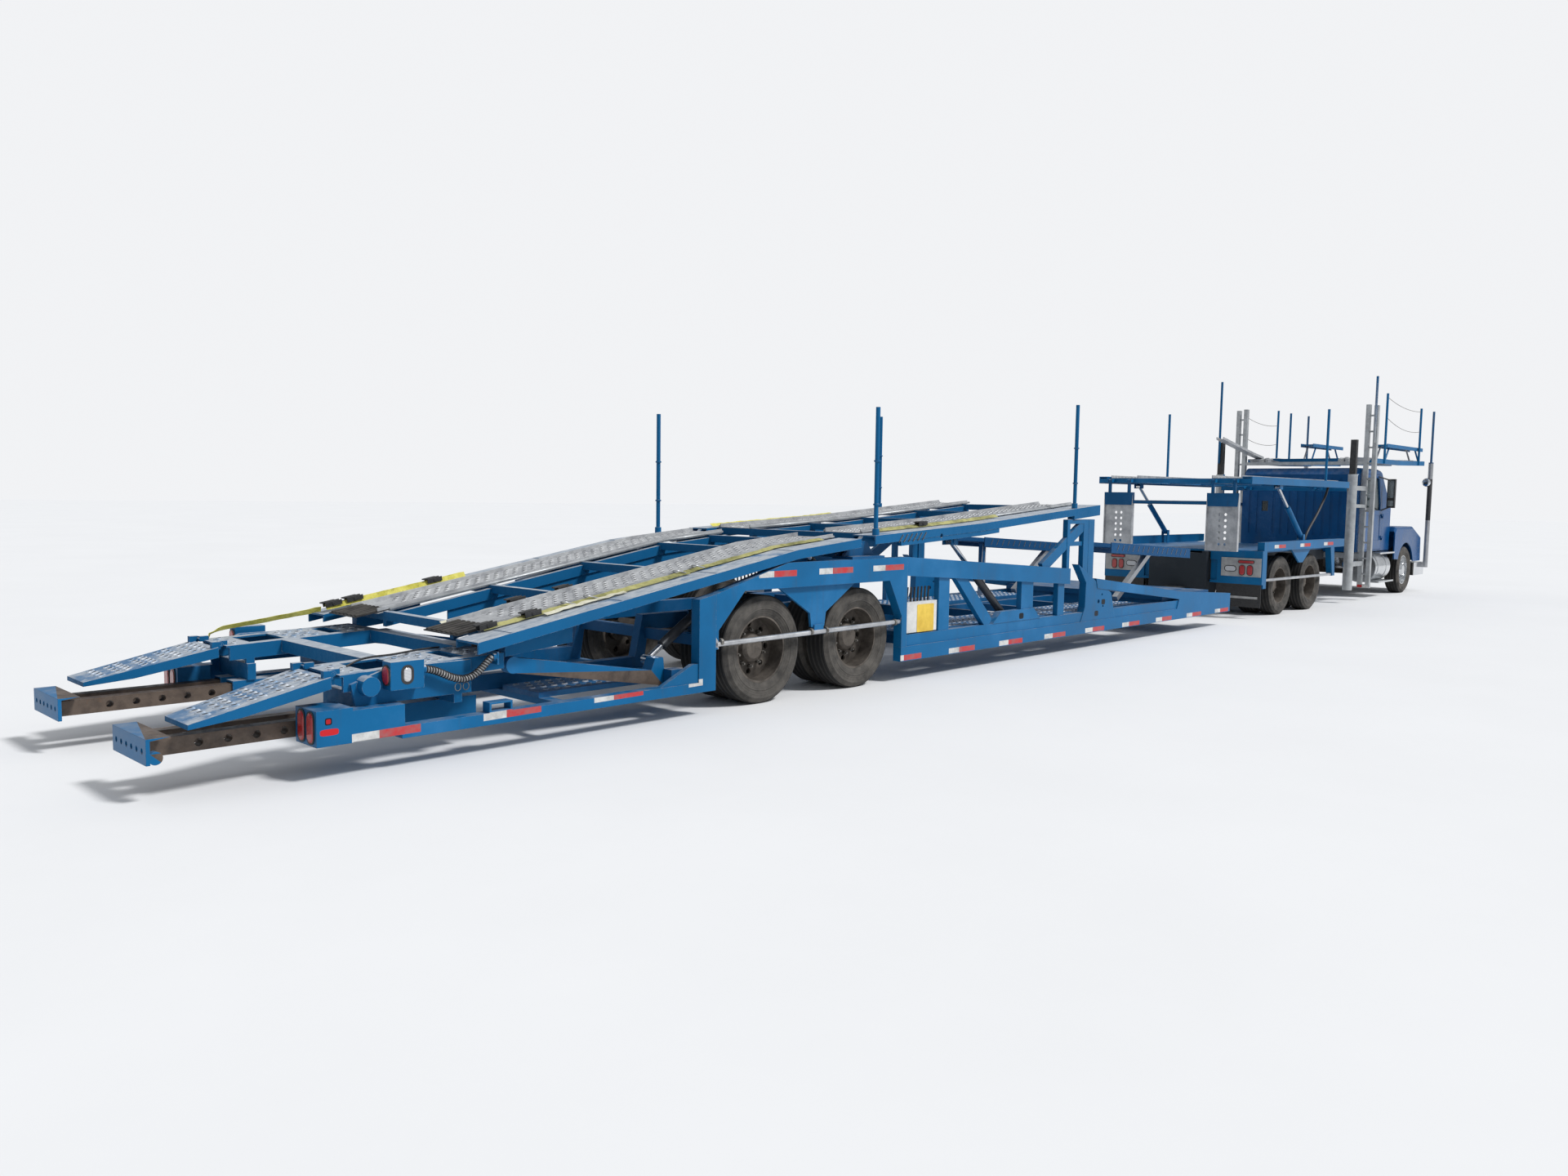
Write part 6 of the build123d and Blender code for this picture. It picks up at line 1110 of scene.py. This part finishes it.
RATCHETS = ((-10.10, 1.085, 0.060), (-9.92, 1.085, 0.060), (-9.20, 1.085, 0.055), (-9.38, -0.470, 0.034),
            (-9.62, -1.030, 0.036), (-9.98, -1.020, 0.034), (-8.95, -0.480, 0.030))
ratchets("ratchets", "rear_deck", DECK_SLOPE, [(x, y, above(x, rise)) for x, y, rise in RATCHETS])
ratchets("front_ratchets", "front_deck", 0.06, [(-5.05, -1.050, lerp(DECK_C, -5.05) + 0.040)])
for number, (x, y) in enumerate(((-9.28, -1.010), (-9.08, -1.015), (-8.20, -1.010), (-8.00, -1.010))):
    z = above(x, 0.018)
    tube(f"hook_{number}", ((x, y + 0.035, z), (x - 0.06, y + 0.02, z + 0.016), (x - 0.085, y - 0.02, z + 0.030),
                            (x - 0.05, y - 0.055, z + 0.022), (x + 0.02, y - 0.050, z + 0.006)),
         0.0055, guard_silver, "rear_deck")
lips("track_lips_rear", "rear_deck", DECK_A, -9.90, -7.10, -6.30)
lips("track_lips_front", "front_deck", DECK_C, -5.90, -4.34, -1.95)

# %% [markdown]
# A ribbed black mat is bolted over the low end of each rear-deck track, where tyres first touch it.

# %% Ribbed mats
MAT = (-10.180, -9.900)
mat_base, mat_ribs = Batch(), Batch()
for sign in (1, -1):
    mat_base.slab(*((x, sign * 0.748, above(x, 0.010)) for x in MAT), 0.460, 0.008)
    for rib in range(7):
        y = sign * (0.550 + rib * 0.066)
        mat_ribs.slab(*((x, y, above(x, 0.018)) for x in (MAT[0] + 0.01, MAT[1] - 0.01)), 0.034, 0.012)
mat_base.done("mat_base", black_plastic, "rear_deck")
mat_ribs.done("mat_ribs", rubber, "rear_deck", bevel=0.003)
print("mats")

# %% [markdown]
# Ten nuts hold each wheel. The outer twin's disc is dished inward and the steering wheel's outward, so
# their nuts stand at different depths.

# %% Wheel nuts
NUT_CIRCLE = 0.158
NUTS = 10
for name, start in WHEELS.items():
    sign = 1 if name.endswith("left") else -1
    seat, finish = (1.0675, chrome) if start == "front_wheel" else (1.0295, hook_steel)
    nuts = Batch()
    for number in range(NUTS):
        angle = 2 * math.pi * (number + 0.5) / NUTS
        x, z = AXLES[start] + NUT_CIRCLE * math.cos(angle), TYRE_RADIUS + NUT_CIRCLE * math.sin(angle)
        for low, high, radius, sides in ((-0.004, 0.022, 0.0165, 6), (0.020, 0.040, 0.010, 8)):
            nuts.bar((x, sign * (seat + low), z), (x, sign * (seat + high), z), radius, sides=sides)
    nuts.done(f"nuts_{name}", finish, name + "_body")
print("nuts", NUTS * len(WHEELS))

# %% [markdown]
# The sign on the trailer's side is a blank enamel plate. Collars join the lengths of guard rod, and a
# band of tape marks the foot of each mast.

# %% Sign plate, collars and mast tape
sign_enamel = simple("sign_enamel", (0.62, 0.40, 0.035), (0.80, 0.56, 0.08), 0.5, scale=9)
plate, collars = Batch(), Batch()
plate.tile((-5.235, -1.265, 0.595), (0, -1, 0), (1, 0, 0), (0.270, 0.270), 0.003, 0.012)
plate.done("sign_plate", sign_enamel, "trailer")
for x in (-6.90, -6.70, -7.98, -5.72):
    for y in (1.262, -1.262):
        collars.bar((x - 0.012, y, 0.582), (x + 0.012, y, 0.582), 0.031, sides=16)
collars.done("guard_collars", hook_steel, "trailer")
for name, dark, light, y, wide in (("white", (0.40, 0.39, 0.38), WHITE_TAPE, 1.225, 0.100),
                                   ("red", (0.30, 0.02, 0.02), RED_TAPE, 1.130, 0.085)):
    tape = Batch()
    for sign in (1, -1):
        tape.tile((8.2998, sign * y, 0.260), BACK, (0, 1, 0), (wide, 0.050), 0.0012, 0.002)
    tape.done("mast_tape_" + name, simple("tape_" + name, dark, light, 0.4, scale=30), "tractor")
print("sign, collars and tape")

# %% [markdown]
# The webs of the front deck are punched with slanted slots, so that chains can hook in, and so are the
# nose ramps. The slots here are thin slanted plates a millimetre proud of the web: a dark one, painted
# shade for the opening, with a pale strip along one side of it.

# %% Slots in the webs


def punched(name, body, y, first, last, low, high, count, lean=0.030, wide=0.012):
    """Slanted slots between two x positions; low and high give each end's height."""
    dark, bright = Batch(), Batch()
    for share in rows(0, 1, count):
        x = first + (last - first) * share
        z = low + (high - low) * share
        for flip in (1, -1):
            for batch, shift, size in ((dark, 0.0, wide), (bright, wide * 0.55, wide * 0.35)):
                batch.slab((x - lean + shift, flip * y, z - 0.036), (x + lean + shift, flip * y, z + 0.036),
                           size, 0.0016, normal=(0, flip, 0))
    # The dark slabs are painted shade for the openings.
    dark.done(name + "_dark", hole_shade, body)
    bright.done(name + "_bright", guard_silver, body)


punched("web_slots_rear", "front_deck", 1.2920, -5.72, -5.28, 1.375, 1.398, 6)
punched("web_slots_front", "front_deck", 1.2408, -4.10, -3.05, 1.480, 1.565, 14)
for y in (0.6992, 1.1508):
    punched(f"nose_slots_{round(y * 1000)}", "trailer", y, -1.18, 0.88, 1.185, 1.068, 15, lean=0.022)

# %% [markdown]
# The hose at the tail is grey and runs inside a black spiral guard that keeps it from chafing. Two rings
# hang beneath it.

# %% Spiral guard and rings
HELIX_RADIUS = 0.0235
WIRE = 0.0050
COIL_PITCH = 0.0195
PER_TURN = 10
RING_STEPS = 16


def helix(points, radius, pitch):
    """A coil about a line of points."""
    line = [a.lerp(b, step / 12) for a, b in zip(points, points[1:]) for step in range(12)] + [points[-1]]
    travelled, coil, turned = 0.0, [], 0.0
    for here, after in zip(line, line[1:]):
        span = (after - here).length
        side = Vector((0, 1, 0))
        upright = (after - here).normalized().cross(side).normalized()
        while turned < travelled + span:
            spot = here.lerp(after, (turned - travelled) / span)
            angle = 2 * math.pi * turned / pitch
            coil.append(spot + side * radius * math.cos(angle) + upright * radius * math.sin(angle))
            turned += pitch / PER_TURN
        travelled += span
    return coil


route = [Vector(point) for point in HOSE_ROUTE]
smooth_route = [route[0]]
for a, b, c in zip(route, route[1:], route[2:]):
    smooth_route += [(a + b) / 2, (a + 6 * b + c) / 8]
smooth_route.append(route[-1])
spring = tube("hose_spring", helix(smooth_route, HELIX_RADIUS, COIL_PITCH), WIRE, hose_rubber, "trailer",
              resolution=2, sides=1)

ring_line = [Vector((0.022 * math.cos(angle), 0, 0.026 * math.sin(angle)))
             for angle in (2 * math.pi * step / RING_STEPS for step in range(RING_STEPS + 1))]
rings = Batch()
for x in (-10.335, -10.275):
    centre = Vector((x, -1.242, 0.476))
    for a, b in zip(ring_line, ring_line[1:]):
        rings.bar(centre + a, centre + b, 0.0028, sides=6)
rings.done("hose_rings", hook_steel, "trailer", smooth=True)
print("spring points", len(spring.data.splines[0].points))

# %% [markdown]
# A black loom lies across the tail frame to the lamps, safety cables hang at the deck over the cab, and
# a hose feeds the upper deck. A cable whose ends are on two bodies is made a fixed mesh on neither.

# %% Loom, cables and deck hose
CABLE_RADIUS = 0.0045


def cable(name, points, radius, finish, body):
    """A cord through these points; its length is returned. Where body is a pair, it is a fixed mesh that follows
    neither body.
    """
    spots = [Vector(p) for p in points]
    for _ in range(3):
        rounded = [spots[0]]
        for a, b in zip(spots, spots[1:]):
            rounded += [a.lerp(b, 0.25), a.lerp(b, 0.75)]
        spots = [*rounded, spots[-1]]
    length = sum((b - a).length for a, b in zip(spots, spots[1:]))
    data, path = round_curve(name, spots, radius, 2, "POLY"), None
    if isinstance(body, str):
        thing = placed(name, data, finish)
        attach(thing, body)
    else:
        path = [tuple(spot) for spot in spots]
        line = bpy.data.objects.new(name + "_line", data)
        thing = placed(name, bpy.data.meshes.new_from_object(line), finish)
        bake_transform(thing)
    return length


def sagging(start, end, sag, steps=8):
    """Points of a slack line between two ends."""
    start, end = Vector(start), Vector(end)
    return [tuple(start.lerp(end, s / steps) - Vector((0, 0, sag * 4 * (s / steps) * (1 - s / steps))))
            for s in range(steps + 1)]


LOOM = ((-10.930, -0.900, 0.634), (-10.84, -0.89, 0.668), (-10.72, -0.85, 0.672), (-10.58, -0.80, 0.664),
        (-10.42, -0.74, 0.666), (-10.27, -0.69, 0.668), (-10.14, -0.66, 0.664))
DECK_HOSE = ((6.50, -1.085, 2.048), (6.45, -1.07, 1.90), (6.30, -1.05, 1.72), (6.08, -1.05, 1.54),
             (5.80, -1.05, 1.36), (5.62, -1.05, 1.20), (5.57, -1.05, 1.056))
lengths = [cable("tail_loom", LOOM, 0.007, hose_rubber, "trailer")]
for name, start, end, sag, body in (
        ("far", (8.36, 1.150, 3.46), (10.10, 1.156, 3.36), 0.07, ("tractor", "over_deck")),
        ("far_low", (8.36, 1.150, 3.05), (10.10, 1.156, 2.98), 0.08, ("tractor", "over_deck")),
        ("near", (9.27, -1.156, 3.78), (11.50, -1.156, 3.64), 0.07, "over_deck"),
        ("near_low", (9.27, -1.156, 3.40), (11.50, -1.156, 3.24), 0.10, "over_deck")):
    lengths.append(cable("safety_cable_" + name, sagging(start, end, sag), CABLE_RADIUS, hook_steel, body))
lengths.append(cable("deck_hose", DECK_HOSE, 0.020, hose_rubber, ("upper_deck", "tractor")))
print("cables", [round(length, 3) for length in lengths])
